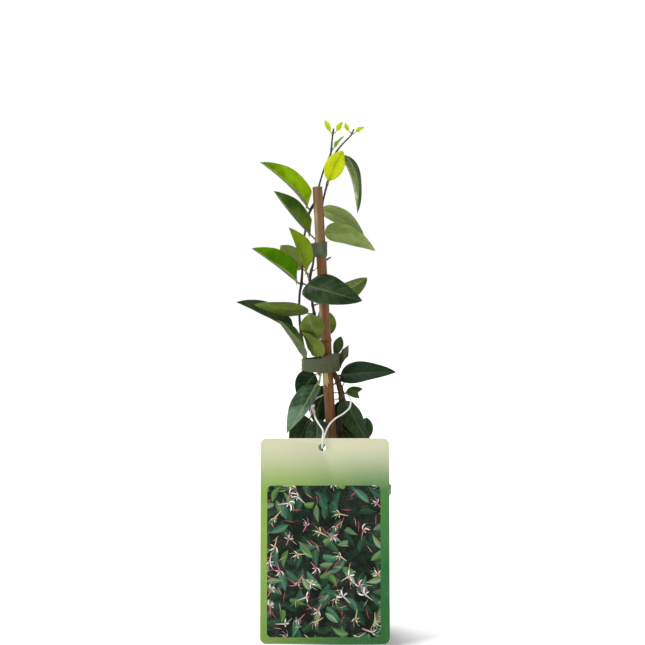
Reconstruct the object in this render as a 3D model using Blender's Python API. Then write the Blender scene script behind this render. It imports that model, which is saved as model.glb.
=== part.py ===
"""Young honeysuckle vine tied to a bamboo cane in a round nursery pot, with a hanging label card.

The origin is the centre of the pot's base, +Z is up, and the label faces -Y. Sizes are in millimetres
and are turned into metres where the meshes are made.
"""

import math
from dataclasses import dataclass

import bmesh
import bpy
from mathutils import Matrix, Vector

MM = 0.001

# Pot
POT_RIM_RADIUS = 45.0
POT_HEIGHT = 105.0
POT_BASE_RADIUS = 33.0
POT_WALL = 1.2
POT_FLOOR = 2.0
RIM_HEIGHT = 6.0
RIM_STEP = 1.4
DRAIN_HOLE_RADIUS = 3.5
DRAIN_HOLE_CIRCLE = 22.0
DRAIN_HOLES = 6
POT_SIDES = 64

# Soil
SOIL_TOP = 95.0
SOIL_RELIEF = 1.6
SOIL_SIDES = 40
SOIL_RINGS = 7
TOUCH_GAP = 0.3
HOLE_EASE = 0.5
HOLE_SIDES = 16

# Cane: a straight, leaning rod whose axis passes through these two points
CANE_FOOT = (8.6, 0.0, 5.0)
CANE_HEAD = (-9.4, 0.0, 324.0)
CANE_FOOT_RADIUS = 4.1
CANE_HEAD_RADIUS = 3.6
CANE_NODES = (92.0, 211.0)
CANE_NODE_SWELL = 0.5

# Ties
TAPE_THICKNESS = 0.5

# Label card
LABEL_WIDTH = 90.0
LABEL_HEIGHT = 142.0
LABEL_THICKNESS = 0.8
LABEL_CORNER = 4.3
LABEL_CENTRE_X = -3.9
LABEL_BOTTOM = 1.5
LABEL_TILT = 3.5
LABEL_HOLE_RADIUS = 2.6
LABEL_HOLE_X = -5.8
LABEL_HOLE_DROP = 6.3

# String
STRING_DIAMETER = 1.2
STRING_POINTS = 76

# Leaves
BLADE_THICKNESS = 0.65
STALK_HALF_WIDTH = 0.6
STALK_SEAT = 0.8
TIP_HALF_WIDTH = 0.3
BLADE_ROWS = 9
STALK_ROWS = 2
COLUMNS = (-1.0, -0.5, 0.0, 0.5, 1.0)
POINTEDNESS = 0.85
CUP = 0.14
VIEW = Vector((0.0, -1.0, 0.0))

# Colours as linear red, green and blue, with roughness
BLACK_PLASTIC = ((0.012, 0.012, 0.013), 0.45)
EARTH = ((0.045, 0.028, 0.018), 0.95)
BAMBOO = ((0.30, 0.12, 0.045), 0.5)
PURPLE_BARK = ((0.055, 0.018, 0.022), 0.45)
BROWN_BARK = ((0.16, 0.06, 0.03), 0.6)
STRAW = ((0.50, 0.36, 0.12), 0.8)
TAPE_GREEN = ((0.11, 0.13, 0.085), 0.4)
CARD_GREEN = ((0.16, 0.36, 0.10), 0.4)
WHITE_TWINE = ((0.85, 0.85, 0.83), 0.8)
DARK = ((0.018, 0.085, 0.025), 0.4)
MID = ((0.07, 0.17, 0.04), 0.45)
BRIGHT = ((0.20, 0.42, 0.015), 0.45)
YOUNG = ((0.55, 0.68, 0.03), 0.45)
GREYISH = ((0.16, 0.25, 0.12), 0.5)


def material(name, look):
    """Make a Principled material from a colour and a roughness."""
    made = bpy.data.materials.get(name)
    if made:
        return made
    colour, roughness = look
    made = bpy.data.materials.new(name)
    made.use_nodes = True
    shader = made.node_tree.nodes["Principled BSDF"]
    shader.inputs["Base Color"].default_value = (*colour, 1.0)
    shader.inputs["Roughness"].default_value = roughness
    shader.inputs["Metallic"].default_value = 0.0
    return made


def add_object(name, data, finish):
    """Link an object holding a mesh or a curve, with its material."""
    made = bpy.data.objects.new(name, data)
    data.materials.append(finish)
    bpy.context.scene.collection.objects.link(made)
    return made


def mesh_from(name, points, faces):
    """Make a mesh from points in millimetres, with its faces turned to agree."""
    data = bpy.data.meshes.new(name)
    data.from_pydata([tuple(MM * c for c in p) for p in points], [], faces)
    work = bmesh.new()
    work.from_mesh(data)
    bmesh.ops.recalc_face_normals(work, faces=work.faces)
    work.to_mesh(data)
    work.free()
    return data


def smooth_curve(points, count):
    """Read evenly spaced points from a smooth curve through the given points.

    Each point is a tuple of any length, so a radius can ride along with the place.
    """
    size = len(points[0])
    first = tuple(2 * a - b for a, b in zip(points[0], points[1]))
    last = tuple(2 * a - b for a, b in zip(points[-1], points[-2]))
    padded = [first, *points, last]
    fine = []
    per_span = 16
    for i in range(1, len(padded) - 2):
        p0, p1, p2, p3 = padded[i - 1 : i + 3]
        for k in range(per_span):
            t = k / per_span
            fine.append(
                tuple(
                    0.5
                    * (
                        2 * p1[c]
                        + (p2[c] - p0[c]) * t
                        + (2 * p0[c] - 5 * p1[c] + 4 * p2[c] - p3[c]) * t * t
                        + (3 * p1[c] - p0[c] - 3 * p2[c] + p3[c]) * t**3
                    )
                    for c in range(size)
                )
            )
    fine.append(tuple(points[-1]))
    lengths = [0.0]
    for a, b in zip(fine, fine[1:]):
        lengths.append(lengths[-1] + math.dist(a[:3], b[:3]))
    read = []
    j = 0
    for i in range(count):
        goal = lengths[-1] * i / (count - 1)
        while j < len(fine) - 2 and lengths[j + 1] < goal:
            j += 1
        share = (goal - lengths[j]) / max(lengths[j + 1] - lengths[j], 1e-9)
        read.append(tuple(a + (b - a) * share for a, b in zip(fine[j], fine[j + 1])))
    return read


def tube(name, points, finish, sides_step):
    """Make a round rod as a curve with filled caps, from (x, y, z, radius) points."""
    data = bpy.data.curves.new(name, "CURVE")
    data.dimensions = "3D"
    data.bevel_depth = MM
    data.bevel_resolution = sides_step
    data.use_fill_caps = True
    spline = data.splines.new("POLY")
    spline.points.add(len(points) - 1)
    for target, (x, y, z, radius) in zip(spline.points, points):
        target.co = (x * MM, y * MM, z * MM, 1.0)
        target.radius = radius
    return add_object(name, data, finish)


@dataclass
class Stem:
    """A stem that only climbs, through (x, y, z, radius) points."""

    name: str
    route: tuple
    rings: int
    look: tuple

    def samples(self):
        """Read the stem's rings from the smooth curve through its route."""
        return smooth_curve(self.route, self.rings)

    def at(self, height):
        """Give the stem's centre, radius and direction at a height."""
        rings = self.samples()
        for a, b in zip(rings, rings[1:]):
            if a[2] <= height <= b[2]:
                share = (height - a[2]) / (b[2] - a[2])
                here = [p + (q - p) * share for p, q in zip(a, b)]
                return Vector(here[:3]), here[3], (Vector(b[:3]) - Vector(a[:3])).normalized()
        raise ValueError(f"{self.name} does not reach {height}")

    def build(self):
        """Make the stem's rod."""
        return tube(self.name, self.samples(), material(self.name, self.look), 2)


LEFT_SHOOT = Stem(
    "shoot_left",
    (
        (-2.0, 7.0, 62.0, 1.9),
        (-3.0, 7.0, 95.0, 1.8),
        (-6.0, 7.0, 128.0, 1.7),
        (-9.5, 6.5, 147.0, 1.6),
        (-12.0, 5.0, 163.0, 1.5),
        (-15.0, 3.5, 177.0, 1.4),
        (-16.8, 2.0, 190.0, 1.2),
        (-19.0, 2.0, 203.0, 1.2),
        (-21.4, 2.5, 216.0, 1.3),
        (-22.6, 4.0, 228.0, 1.1),
        (-22.8, 4.5, 239.0, 1.1),
        (-22.3, 4.5, 247.0, 1.15),
        (-21.2, 4.5, 253.0, 1.3),
        (-20.3, 5.0, 267.0, 1.0),
        (-19.4, 6.0, 285.0, 1.0),
        (-18.0, 6.5, 294.0, 1.0),
        (-15.6, 7.5, 305.0, 1.1),
        (-12.3, 7.5, 312.0, 1.0),
        (-9.7, 7.5, 319.0, 0.9),
        (-8.0, 6.0, 326.0, 0.9),
        (-6.3, 5.0, 332.0, 0.85),
        (-4.0, 4.0, 339.0, 0.85),
        (-1.2, 3.5, 345.0, 0.85),
        (0.7, 3.0, 350.0, 0.85),
        (1.3, 3.0, 357.0, 0.8),
        (1.8, 3.0, 362.0, 0.75),
        (2.6, 3.0, 367.0, 0.7),
    ),
    66,
    PURPLE_BARK,
)
RIGHT_SHOOT = Stem(
    "shoot_right",
    (
        (11.0, 6.5, 60.0, 2.4),
        (9.5, 6.5, 95.0, 2.3),
        (7.5, 6.0, 126.0, 2.2),
        (7.3, 5.0, 152.0, 2.2),
        (8.6, 3.8, 169.0, 2.4),
        (6.6, 4.2, 178.0, 2.3),
        (3.6, 6.2, 186.0, 2.0),
        (-0.6, 7.6, 194.0, 1.6),
        (-7.2, 7.8, 206.0, 1.4),
        (-10.2, 6.0, 222.0, 1.1),
        (-11.6, 4.6, 230.0, 1.3),
        (-13.2, 3.6, 239.0, 1.05),
        (-14.6, 4.8, 247.0, 1.05),
        (-15.0, 5.2, 257.0, 1.2),
        (-12.4, 5.2, 269.0, 1.0),
        (-11.5, 5.4, 279.0, 1.0),
        (-9.8, 7.2, 287.0, 1.1),
        (-6.8, 7.2, 300.0, 0.95),
        (-5.2, 5.6, 314.0, 0.9),
        (-2.0, 3.0, 327.0, 1.0),
        (0.8, 3.0, 338.0, 0.85),
        (3.4, 3.0, 348.0, 0.95),
        (7.4, 3.0, 354.0, 0.8),
        (11.6, 3.0, 358.5, 0.75),
        (15.5, 2.6, 362.5, 0.7),
        (17.4, 2.4, 366.5, 0.65),
    ),
    66,
    BROWN_BARK,
)
SIDE_SHOOT = Stem(
    "shoot_side",
    (
        (-11.6, 2.2, 167.0, 0.9),
        (-10.0, -1.8, 172.0, 0.9),
        (-8.6, -4.6, 178.0, 0.9),
        (-7.4, -6.0, 184.0, 0.9),
        (-6.4, -6.2, 190.0, 0.85),
    ),
    9,
    STRAW,
)


@dataclass
class Leaf:
    """One leaf with its stalk.

    The midrib starts at the stem at the given height, passes `middle` half-way and ends at `tip`. `turn`
    is how many degrees the upper side leans away from the front, towards the right-hand side of someone
    who looks along the leaf; `fold` lifts each half of the blade towards the upper side. `torn` cuts the
    blade short and leaves a notched end.
    """

    name: str
    stem: Stem
    height: float
    middle: tuple
    tip: tuple
    width: float
    turn: float
    fold: float
    stalk: float
    belly: float
    look: tuple
    wave: float = 0.5
    torn: float = 0.0


def leaf_frame(leaf):
    """Give the three points that steer the midrib, and the way the upper side faces."""
    centre, radius, along = leaf.stem.at(leaf.height)
    middle, tip = Vector(leaf.middle), Vector(leaf.tip)
    away = middle - centre
    away = (away - along * away.dot(along)).normalized()
    start = centre + away * (radius + STALK_SEAT)
    steer = 2 * middle - (start + tip) / 2
    tangent = (tip - start).normalized()
    front = (VIEW - tangent * VIEW.dot(tangent)).normalized()
    right = tangent.cross(front)
    turn = math.radians(leaf.turn)
    return start, steer, tip, math.cos(turn) * front + math.sin(turn) * right


def blade_outline(share, belly):
    """Half-width of an ovate blade, as a share of its widest, at a share of its length."""
    rise = POINTEDNESS * belly / (1 - belly)
    widest = belly**rise * (1 - belly) ** POINTEDNESS
    return max(share, 0.0) ** rise * max(1 - share, 0.0) ** POINTEDNESS / widest


def leaf_rows(leaf, blade_rows, stalk_rows, columns):
    """Work out the rows of points of a leaf's sheet, from its stalk to its tip."""
    start, steer, tip, facing = leaf_frame(leaf)
    length = (tip - start).length
    stalk_share = min(leaf.stalk / length, 0.5)
    shares = [stalk_share * i / stalk_rows for i in range(stalk_rows)]
    shares += [
        stalk_share + (1 - stalk_share) * (0.25 * j / blade_rows + 0.75 * ease(j / blade_rows))
        for j in range(blade_rows + 1)
    ]
    half = leaf.width / 2
    fold = math.radians(leaf.fold)
    rows = []
    for t in shares:
        spot = start * (1 - t) ** 2 + steer * 2 * t * (1 - t) + tip * t * t
        tangent = ((steer - start) * (1 - t) + (tip - steer) * t).normalized()
        up = (facing - tangent * facing.dot(tangent)).normalized()
        side = tangent.cross(up)
        u = (t - stalk_share) / (1 - stalk_share)
        outline = blade_outline(u * (1 - 0.25 * leaf.torn), leaf.belly)
        reach = max(half * outline, STALK_HALF_WIDTH if u < 0.5 else TIP_HALF_WIDTH)
        opened = min(1.0, max(u, 0.0) * 8)
        row = []
        for s in columns:
            across = s * reach
            lift = abs(across) * math.sin(fold) * opened
            lift -= CUP * opened * across * across / half
            lift += leaf.wave * opened * s * s * math.sin(9.5 * u + 1.9 * s) * outline
            notch = -0.3 * leaf.torn * leaf.width * (1 - abs(s)) * max(u, 0.0) ** 6
            spread = across * (1 - opened * (1 - math.cos(fold)))
            row.append(spot + side * spread + up * lift + tangent * notch)
        rows.append(row)
    return rows


def ease(share):
    """Crowd the rows towards both ends of the blade."""
    return (1 - math.cos(math.pi * share)) / 2


def sheet_triangles(row_count, column_count):
    """Split a grid of points into triangles."""
    faces = []
    for r in range(row_count - 1):
        for c in range(column_count - 1):
            a = r * column_count + c
            b = a + column_count
            if c < column_count // 2:
                faces += [(a, b, a + 1), (a + 1, b, b + 1)]
            else:
                faces += [(a, b, b + 1), (a, b + 1, a + 1)]
    return faces


def thicken(made, thickness):
    """Give a sheet its thickness, half to each side."""
    solid = made.modifiers.new("thickness", "SOLIDIFY")
    solid.thickness = thickness * MM
    solid.offset = 0.0
    return made


def build_leaf(leaf):
    """Make one leaf as a thin closed solid."""
    rows = leaf_rows(leaf, BLADE_ROWS, STALK_ROWS, COLUMNS)
    points = [p for row in rows for p in row]
    data = mesh_from(leaf.name, points, sheet_triangles(len(rows), len(COLUMNS)))
    return thicken(add_object(leaf.name, data, material(leaf.name, leaf.look)), BLADE_THICKNESS)


L, R, S = LEFT_SHOOT, RIGHT_SHOOT, SIDE_SHOOT
LEAVES = (
    Leaf("leaf_upper_left_high", L, 308, (-30, -1, 325), (-51, -8, 341), 30, 60, 38, 2, 0.35, BRIGHT),
    Leaf("leaf_upper_left_low", R, 286, (-27.5, -4, 303), (-41, -8, 320), 27, 60, 38, 4, 0.38, DARK),
    Leaf("leaf_upper_right_high", L, 310, (6, 14, 304), (25, 12, 290), 19, -128, 10, 5, 0.42, GREYISH),
    Leaf("leaf_upper_right_low", R, 290, (12, 7, 289.5), (33, 0, 277), 22, -130, 10, 4, 0.36, GREYISH),
    Leaf("leaf_top_drooping", R, 348, (15, 2, 334), (20, 0, 305), 25, -79, 38, 3, 0.37, GREYISH),
    Leaf("leaf_top_bright", R, 327, (3.2, -4, 339), (9.5, -6, 349.5), 15, 8, 18, 2, 0.45, YOUNG),
    Leaf("leaf_middle_left_upright", R, 257, (-22.5, -13, 275), (-30, -15, 293), 25, 55, 38, 5, 0.4, BRIGHT),
    Leaf("leaf_middle_left", L, 253, (-39, -5, 266), (-57, -10, 278), 30, 62, 38, 2, 0.33, BRIGHT),
    Leaf("leaf_middle_left_rear", R, 260, (-28, 12, 272), (-37, 17, 282), 16, 165, 12, 5, 0.45, GREYISH),
    Leaf("leaf_middle_front", L, 253, (0, -15, 246.2), (23, -16, 240), 26, -24, 18, 3, 0.34, DARK),
    Leaf("leaf_middle_right_rear", R, 237, (11, 19, 247), (28, 22, 258), 18, 140, 10, 12, 0.45, MID),
    Leaf("leaf_middle_bud", R, 263, (-7, 8, 267), (1, 8, 273), 5, -60, 20, 4, 0.5, GREYISH),
    Leaf("leaf_long_left", L, 216, (-44, -6, 228), (-68, -12, 239), 23, 57, 38, 4, 0.44, DARK),
    Leaf("leaf_long_left_front", R, 231, (-34, -13, 234), (-55, -17, 237), 18, 125, 10, 4, 0.38, MID),
    Leaf("leaf_tie_left", L, 198, (-27.5, -12, 212), (-38, -16, 226), 22, 81, 40, 2, 0.38, GREYISH),
    Leaf("leaf_tie_front_high", R, 206, (-11.5, -16, 217.5), (-16, -25, 230), 19, 175, 14, 8, 0.56, MID),
    Leaf("leaf_tie_front_low", S, 186, (-10.5, -11, 203), (-20.5, -21, 217.5), 17, 139, 25, 14, 0.3, MID),
    Leaf("leaf_behind_cane", R, 208, (-3, 8.5, 222), (-8, 8.5, 233), 16, 175, 10, 5, 0.45, GREYISH),
    Leaf("leaf_tie_right_small", R, 192, (5, 5, 204), (8, 4, 214), 8, 20, 10, 4, 0.6, MID),
    Leaf("leaf_tie_right", R, 184, (26, -2, 187.5), (48, -6, 188), 21, -42, 15, 1, 0.31, DARK),
    Leaf("leaf_lower_left_front", S, 181, (-18, -15, 165), (-31, -21, 145), 25, 48, 28, 3, 0.38, GREYISH),
    Leaf("leaf_lower_left_rear", S, 187, (-15.8, 0.3, 181), (-22, -0.5, 167), 19, 0, 8, 4, 0.44, DARK),
    Leaf("leaf_lower_behind_cane", R, 180, (-7, 11.5, 167), (-11, 12, 149), 17, 0, 12, 5, 0.4, DARK),
    Leaf("leaf_lower_narrow", R, 168, (-2.5, 5.8, 162), (-7.4, 2.6, 150), 8, -15, 12, 10, 0.45, DARK),
    Leaf("leaf_bottom_left", L, 157, (-20, -2, 144), (-28, -8, 123), 24, -22, 10, 6.5, 0.33, DARK),
    Leaf("leaf_bottom_front", L, 157, (-9.5, -11, 143), (-14, -19, 124), 18, 12, 15, 6, 0.42, GREYISH),
    Leaf("leaf_lower_torn", R, 172, (15.5, 0, 173.5), (23, -2, 172), 9, -20, 10, 1, 0.55, DARK, 0.2, 1.0),
    Leaf("leaf_lower_right_long", R, 168, (17.6, -5, 155), (29.5, -13, 133), 21, -40, -10, 3.5, 0.36, DARK),
    Leaf("leaf_lower_right_rear", R, 169, (10.5, 12, 150), (11, 13, 126), 19, 0, 10, 3, 0.38, DARK),
    Leaf("leaf_bottom_right_upright", R, 129, (22, 8, 140), (27, 6, 154), 15, 15, 10, 6, 0.6, DARK),
    Leaf("leaf_bottom_right", R, 146, (15, 1, 139), (24, -1, 126), 15, -20, 10, 3, 0.4, DARK),
    Leaf("leaf_tip_left_low", L, 352, (5, -1, 355.5), (10, -2, 361), 6, -60, 20, 2, 0.45, MID),
    Leaf("leaf_tip_left_a", L, 364, (-1.5, 1, 368), (-4, 0, 373), 5, 30, 20, 2, 0.45, YOUNG),
    Leaf("leaf_tip_left_b", L, 364.5, (6.5, 2, 368), (9, 1, 372), 5, -30, 20, 2, 0.45, YOUNG),
    Leaf("leaf_tip_right_a", R, 364, (12.5, 1, 367), (11, 0, 371), 4, 30, 20, 2, 0.45, YOUNG),
    Leaf("leaf_tip_right_b", R, 364, (21, 1, 366), (25, 0, 368), 4, -30, 20, 2, 0.45, YOUNG),
    Leaf("leaf_back_low", R, 118, (16, 18, 124), (22, 30, 122), 20, -80, 15, 6, 0.42, DARK),
    Leaf("leaf_back_low_left", L, 122, (-14, 17, 130), (-24, 27, 130), 20, 80, 15, 8, 0.42, DARK),
    Leaf("leaf_back_middle", R, 176, (15, 20, 184), (22, 33, 182), 20, -80, 15, 6, 0.42, DARK),
    Leaf("leaf_back_upper", L, 232, (-31, 18, 234), (-39, 29, 232), 15, 80, 15, 5, 0.42, MID),
)


def build_pot():
    """Turn the pot's shell and cut its drain holes."""
    shelf = POT_HEIGHT - RIM_HEIGHT
    under_rim = POT_RIM_RADIUS - RIM_STEP
    profile = (
        (POT_BASE_RADIUS - 0.8, 0.0),
        (POT_BASE_RADIUS, 0.8),
        (under_rim, shelf - 1.0),
        (POT_RIM_RADIUS, shelf),
        (POT_RIM_RADIUS, POT_HEIGHT - 0.6),
        (POT_RIM_RADIUS - 0.6, POT_HEIGHT),
        (POT_RIM_RADIUS - 1.6, POT_HEIGHT),
        (under_rim - POT_WALL, shelf - 2.0),
        (POT_BASE_RADIUS - POT_WALL + 0.3, POT_FLOOR + 0.8),
        (POT_BASE_RADIUS - POT_WALL - 0.6, POT_FLOOR),
    )
    points = []
    for i in range(POT_SIDES):
        angle = 2 * math.pi * i / POT_SIDES
        points += [(r * math.cos(angle), r * math.sin(angle), z) for r, z in profile]
    count = len(profile)
    under = len(points)
    points += [(0.0, 0.0, 0.0), (0.0, 0.0, POT_FLOOR)]
    faces = []
    for i in range(POT_SIDES):
        here = i * count
        following = ((i + 1) % POT_SIDES) * count
        faces += [
            (here + k, following + k, following + k + 1, here + k + 1) for k in range(count - 1)
        ]
        faces += [(under, following, here), (under + 1, here + count - 1, following + count - 1)]
    pot = add_object("pot", mesh_from("pot", points, faces), material("pot", BLACK_PLASTIC))
    for k in range(DRAIN_HOLES):
        angle = 2 * math.pi * (k + 0.53) / DRAIN_HOLES
        place = (DRAIN_HOLE_CIRCLE * math.cos(angle), DRAIN_HOLE_CIRCLE * math.sin(angle), 0.0)
        cut_round_hole(pot, f"drain_{k}", place, DRAIN_HOLE_RADIUS, 12.0)
    pot.data.shade_smooth()
    return pot


def cut_round_hole(made, name, place, radius, depth, turned=Matrix.Identity(4)):
    """Cut a round hole through an object with a cylinder."""
    data = bpy.data.meshes.new(name)
    work = bmesh.new()
    bmesh.ops.create_cone(
        work, cap_ends=True, segments=16, radius1=radius * MM, radius2=radius * MM, depth=depth * MM
    )
    bmesh.ops.transform(work, matrix=Matrix.Translation(Vector(place) * MM) @ turned, verts=work.verts)
    work.to_mesh(data)
    work.free()
    cut_with(made, add_object(name, data, made.data.materials[0]))


def cut_with(made, cutter):
    """Take a hidden cutter away from an object."""
    cutter.hide_render = True
    cutter.display_type = "WIRE"
    cut = made.modifiers.new(cutter.name, "BOOLEAN")
    cut.operation = "DIFFERENCE"
    cut.solver = "EXACT"
    cut.object = cutter


def soil_height(x, y):
    """Height of the uneven top of the soil."""
    waves = math.sin(0.31 * x + 1.0) * math.cos(0.27 * y) + 0.6 * math.sin(0.53 * y + 0.36 * x)
    return SOIL_TOP + SOIL_RELIEF * 0.6 * waves


def build_soil():
    """Make the plug of soil, with plain holes for the cane and the two rooted stems."""
    slope = (POT_RIM_RADIUS - RIM_STEP - POT_BASE_RADIUS) / (POT_HEIGHT - RIM_HEIGHT)
    clear = POT_WALL + TOUCH_GAP + 0.5
    bottom = POT_FLOOR + TOUCH_GAP + 0.7
    low_radius = POT_BASE_RADIUS - clear + slope * bottom
    top_radius = POT_BASE_RADIUS - clear + slope * (SOIL_TOP - 4.0)
    points = [(0.0, 0.0, bottom)]
    for radius, height in ((low_radius, bottom), (top_radius, None)):
        for i in range(SOIL_SIDES):
            angle = 2 * math.pi * i / SOIL_SIDES
            x, y = radius * math.cos(angle), radius * math.sin(angle)
            points.append((x, y, soil_height(x, y) if height is None else height))
    for ring in range(1, SOIL_RINGS):
        radius = top_radius * (1 - ring / SOIL_RINGS)
        for i in range(SOIL_SIDES):
            angle = 2 * math.pi * i / SOIL_SIDES
            x, y = radius * math.cos(angle), radius * math.sin(angle)
            points.append((x, y, soil_height(x, y)))
    points.append((0.0, 0.0, soil_height(0.0, 0.0)))
    faces = []
    for i in range(SOIL_SIDES):
        j = (i + 1) % SOIL_SIDES
        faces.append((0, 1 + j, 1 + i))
        for ring in range(SOIL_RINGS):
            a = 1 + ring * SOIL_SIDES
            b = a + SOIL_SIDES
            faces.append((a + i, a + j, b + j, b + i))
        last = 1 + SOIL_RINGS * SOIL_SIDES
        faces.append((last + i, last + j, len(points) - 1))
    soil = add_object("soil", mesh_from("soil", points, faces), material("soil", EARTH))
    cane = [(*CANE_FOOT, CANE_FOOT_RADIUS + 0.4), (*CANE_HEAD, CANE_FOOT_RADIUS + 0.4)]
    cutters = [("cane_hole", cane)]
    cutters += [(f"{s.name}_hole", s.samples()[:18]) for s in (LEFT_SHOOT, RIGHT_SHOOT)]
    for name, line in cutters:
        x, y, z, radius = line[0]
        rings = [(x, y, z - 1.0, radius), *line[1:]]
        cut_with(soil, add_object(name, upright_rod(name, rings), material("soil", EARTH)))
    return soil


def upright_rod(name, line):
    """Make a cutter from level rings round (x, y, z, radius) points, with room for the rod in it."""
    points = []
    for x, y, z, radius in line:
        for k in range(HOLE_SIDES):
            angle = 2 * math.pi * k / HOLE_SIDES
            reach = radius + HOLE_EASE
            points.append((x + reach * math.cos(angle), y + reach * math.sin(angle), z))
    faces = [tuple(range(HOLE_SIDES)), tuple(range(len(points) - HOLE_SIDES, len(points)))]
    for ring in range(len(line) - 1):
        a = ring * HOLE_SIDES
        for k in range(HOLE_SIDES):
            j = (k + 1) % HOLE_SIDES
            faces.append((a + k, a + j, a + HOLE_SIDES + j, a + HOLE_SIDES + k))
    return mesh_from(name, points, faces)


def cane_point(height):
    """Give the cane's axis at a height."""
    share = (height - CANE_FOOT[2]) / (CANE_HEAD[2] - CANE_FOOT[2])
    return tuple(a + (b - a) * share for a, b in zip(CANE_FOOT, CANE_HEAD))


def cane_radius(height):
    """Give the cane's radius at a height, with its raised nodes."""
    share = (height - CANE_FOOT[2]) / (CANE_HEAD[2] - CANE_FOOT[2])
    swell = sum(math.exp(-(((height - n) / 1.8) ** 2)) for n in CANE_NODES)
    return CANE_FOOT_RADIUS + (CANE_HEAD_RADIUS - CANE_FOOT_RADIUS) * share + CANE_NODE_SWELL * swell


def build_cane():
    """Make the bamboo cane."""
    heights = {CANE_FOOT[2], CANE_HEAD[2], 50.0, 150.0, 180.0, 240.0, 280.0}
    for node in CANE_NODES:
        heights.update(node + step for step in (-5.0, -2.5, 0.0, 2.5, 5.0))
    rings = [(*cane_point(z), cane_radius(z)) for z in sorted(heights)]
    return tube("cane", rings, material("cane", BAMBOO), 4)


def build_strip(name, route, count, look):
    """Make a strip of tape that stands on edge along (x, y, low, high) points."""
    read = smooth_curve([(x, y, (low + high) / 2, high - low) for x, y, low, high in route], count)
    points = []
    for x, y, middle, tall in read:
        points += [(x, y, middle + tall * step) for step in (-0.5, 0.0, 0.5)]
    data = mesh_from(name, points, sheet_triangles(count, 3))
    return thicken(add_object(name, data, material(name, look)), TAPE_THICKNESS)


UPPER_TIE = (
    (-2.2, 1.2, 273.0, 283.8),
    (-2.6, -2.4, 272.8, 283.8),
    (-6.0, -4.7, 272.2, 283.2),
    (-10.6, -3.4, 272.6, 282.8),
    (-14.0, 1.4, 272.8, 282.6),
    (-14.6, 5.6, 272.2, 282.8),
    (-12.0, 8.4, 272.6, 283.0),
    (-7.2, 8.4, 273.0, 283.4),
    (-3.0, 5.0, 273.2, 283.6),
)
LOWER_TIE = (
    (7.0, -0.4, 188.6, 201.0),
    (5.6, -4.2, 188.4, 202.0),
    (0.6, -10.2, 188.0, 201.4),
    (-6.5, -12.8, 187.6, 198.4),
    (-13.5, -11.0, 188.2, 197.8),
    (-19.6, -4.4, 188.8, 197.8),
    (-20.8, 1.8, 188.8, 197.8),
    (-17.0, 6.6, 188.8, 198.2),
    (-8.6, 10.8, 188.6, 199.2),
    (0.0, 11.6, 188.4, 200.2),
    (6.2, 9.0, 189.0, 201.0),
    (8.2, 5.0, 191.6, 202.6),
    (9.4, 1.8, 194.8, 204.8),
    (13.6, 0.6, 199.8, 207.6),
)


def label_matrix():
    """Place the card's own plane: its bottom edge forward, its back against the pot's rim."""
    tilt = Matrix.Rotation(math.radians(LABEL_TILT), 4, "X")
    rise = POT_HEIGHT - LABEL_BOTTOM
    back = POT_RIM_RADIUS + TOUCH_GAP + rise * math.tan(math.radians(LABEL_TILT))
    return Matrix.Translation((LABEL_CENTRE_X, -back - LABEL_THICKNESS / 2, LABEL_BOTTOM)) @ tilt.inverted()


def build_label():
    """Make the card with its rounded corners and punched hole."""
    half = LABEL_WIDTH / 2 - LABEL_CORNER
    outline = []
    corners = (
        (half, LABEL_CORNER, -90),
        (half, LABEL_HEIGHT - LABEL_CORNER, 0),
        (-half, LABEL_HEIGHT - LABEL_CORNER, 90),
        (-half, LABEL_CORNER, 180),
    )
    for x, z, first in corners:
        for step in range(5):
            angle = math.radians(first + 22.5 * step)
            outline.append((x + LABEL_CORNER * math.cos(angle), z + LABEL_CORNER * math.sin(angle)))
    place = label_matrix()
    points = []
    for depth in (-LABEL_THICKNESS / 2, LABEL_THICKNESS / 2):
        points += [place @ Vector((x, depth, z)) for x, z in outline]
    count = len(outline)
    faces = [tuple(range(count)), tuple(range(2 * count - 1, count - 1, -1))]
    faces += [(i, (i + 1) % count, count + (i + 1) % count, count + i) for i in range(count)]
    label = add_object("label", mesh_from("label", points, faces), material("label", CARD_GREEN))
    hole = label_hole()
    turned = Matrix.Rotation(math.radians(90 - LABEL_TILT), 4, "X")
    cut_round_hole(label, "label_hole", hole, LABEL_HOLE_RADIUS, 6.0, turned)
    return label


def label_hole():
    """Give the centre of the card's hole."""
    drop = LABEL_HEIGHT - LABEL_HOLE_DROP
    return label_matrix() @ Vector((LABEL_HOLE_X - LABEL_CENTRE_X, 0.0, drop))


def string_route():
    """List the string's own points: knot, round the stems, down, through the hole and back up."""
    hole = label_hole()
    through = [
        (0.5, 2.4, 3.4),
        (0.2, 1.5, 0.7),
        (0.0, 0.0, -0.3),
        (-0.1, -1.5, 0.7),
        (0.0, -2.4, 3.4),
    ]
    return [
        (-15.4, 2.2, 163.4),
        (-15.8, 4.8, 164.0),
        (-14.2, 7.8, 165.4),
        (-9.0, 7.6, 168.6),
        (-3.0, 6.2, 171.4),
        (3.0, 6.8, 172.2),
        (8.2, 8.6, 172.2),
        (12.4, 6.4, 171.4),
        (13.8, 0.6, 170.0),
        (15.0, -7.0, 166.8),
        (14.0, -14.0, 162.6),
        (9.6, -21.0, 159.0),
        (4.4, -28.0, 156.4),
        (0.0, -34.0, 153.0),
        (-2.6, -39.4, 149.0),
        (-4.2, -41.4, 144.8),
        *[tuple(hole + Vector(step)) for step in through],
        (-5.5, -45.2, 144.6),
        (-5.2, -42.6, 148.6),
        (-8.0, -35.0, 152.4),
        (-10.6, -26.0, 156.0),
        (-12.2, -16.0, 159.4),
        (-12.8, -7.0, 161.6),
        (-12.8, -1.2, 162.3),
    ]


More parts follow.
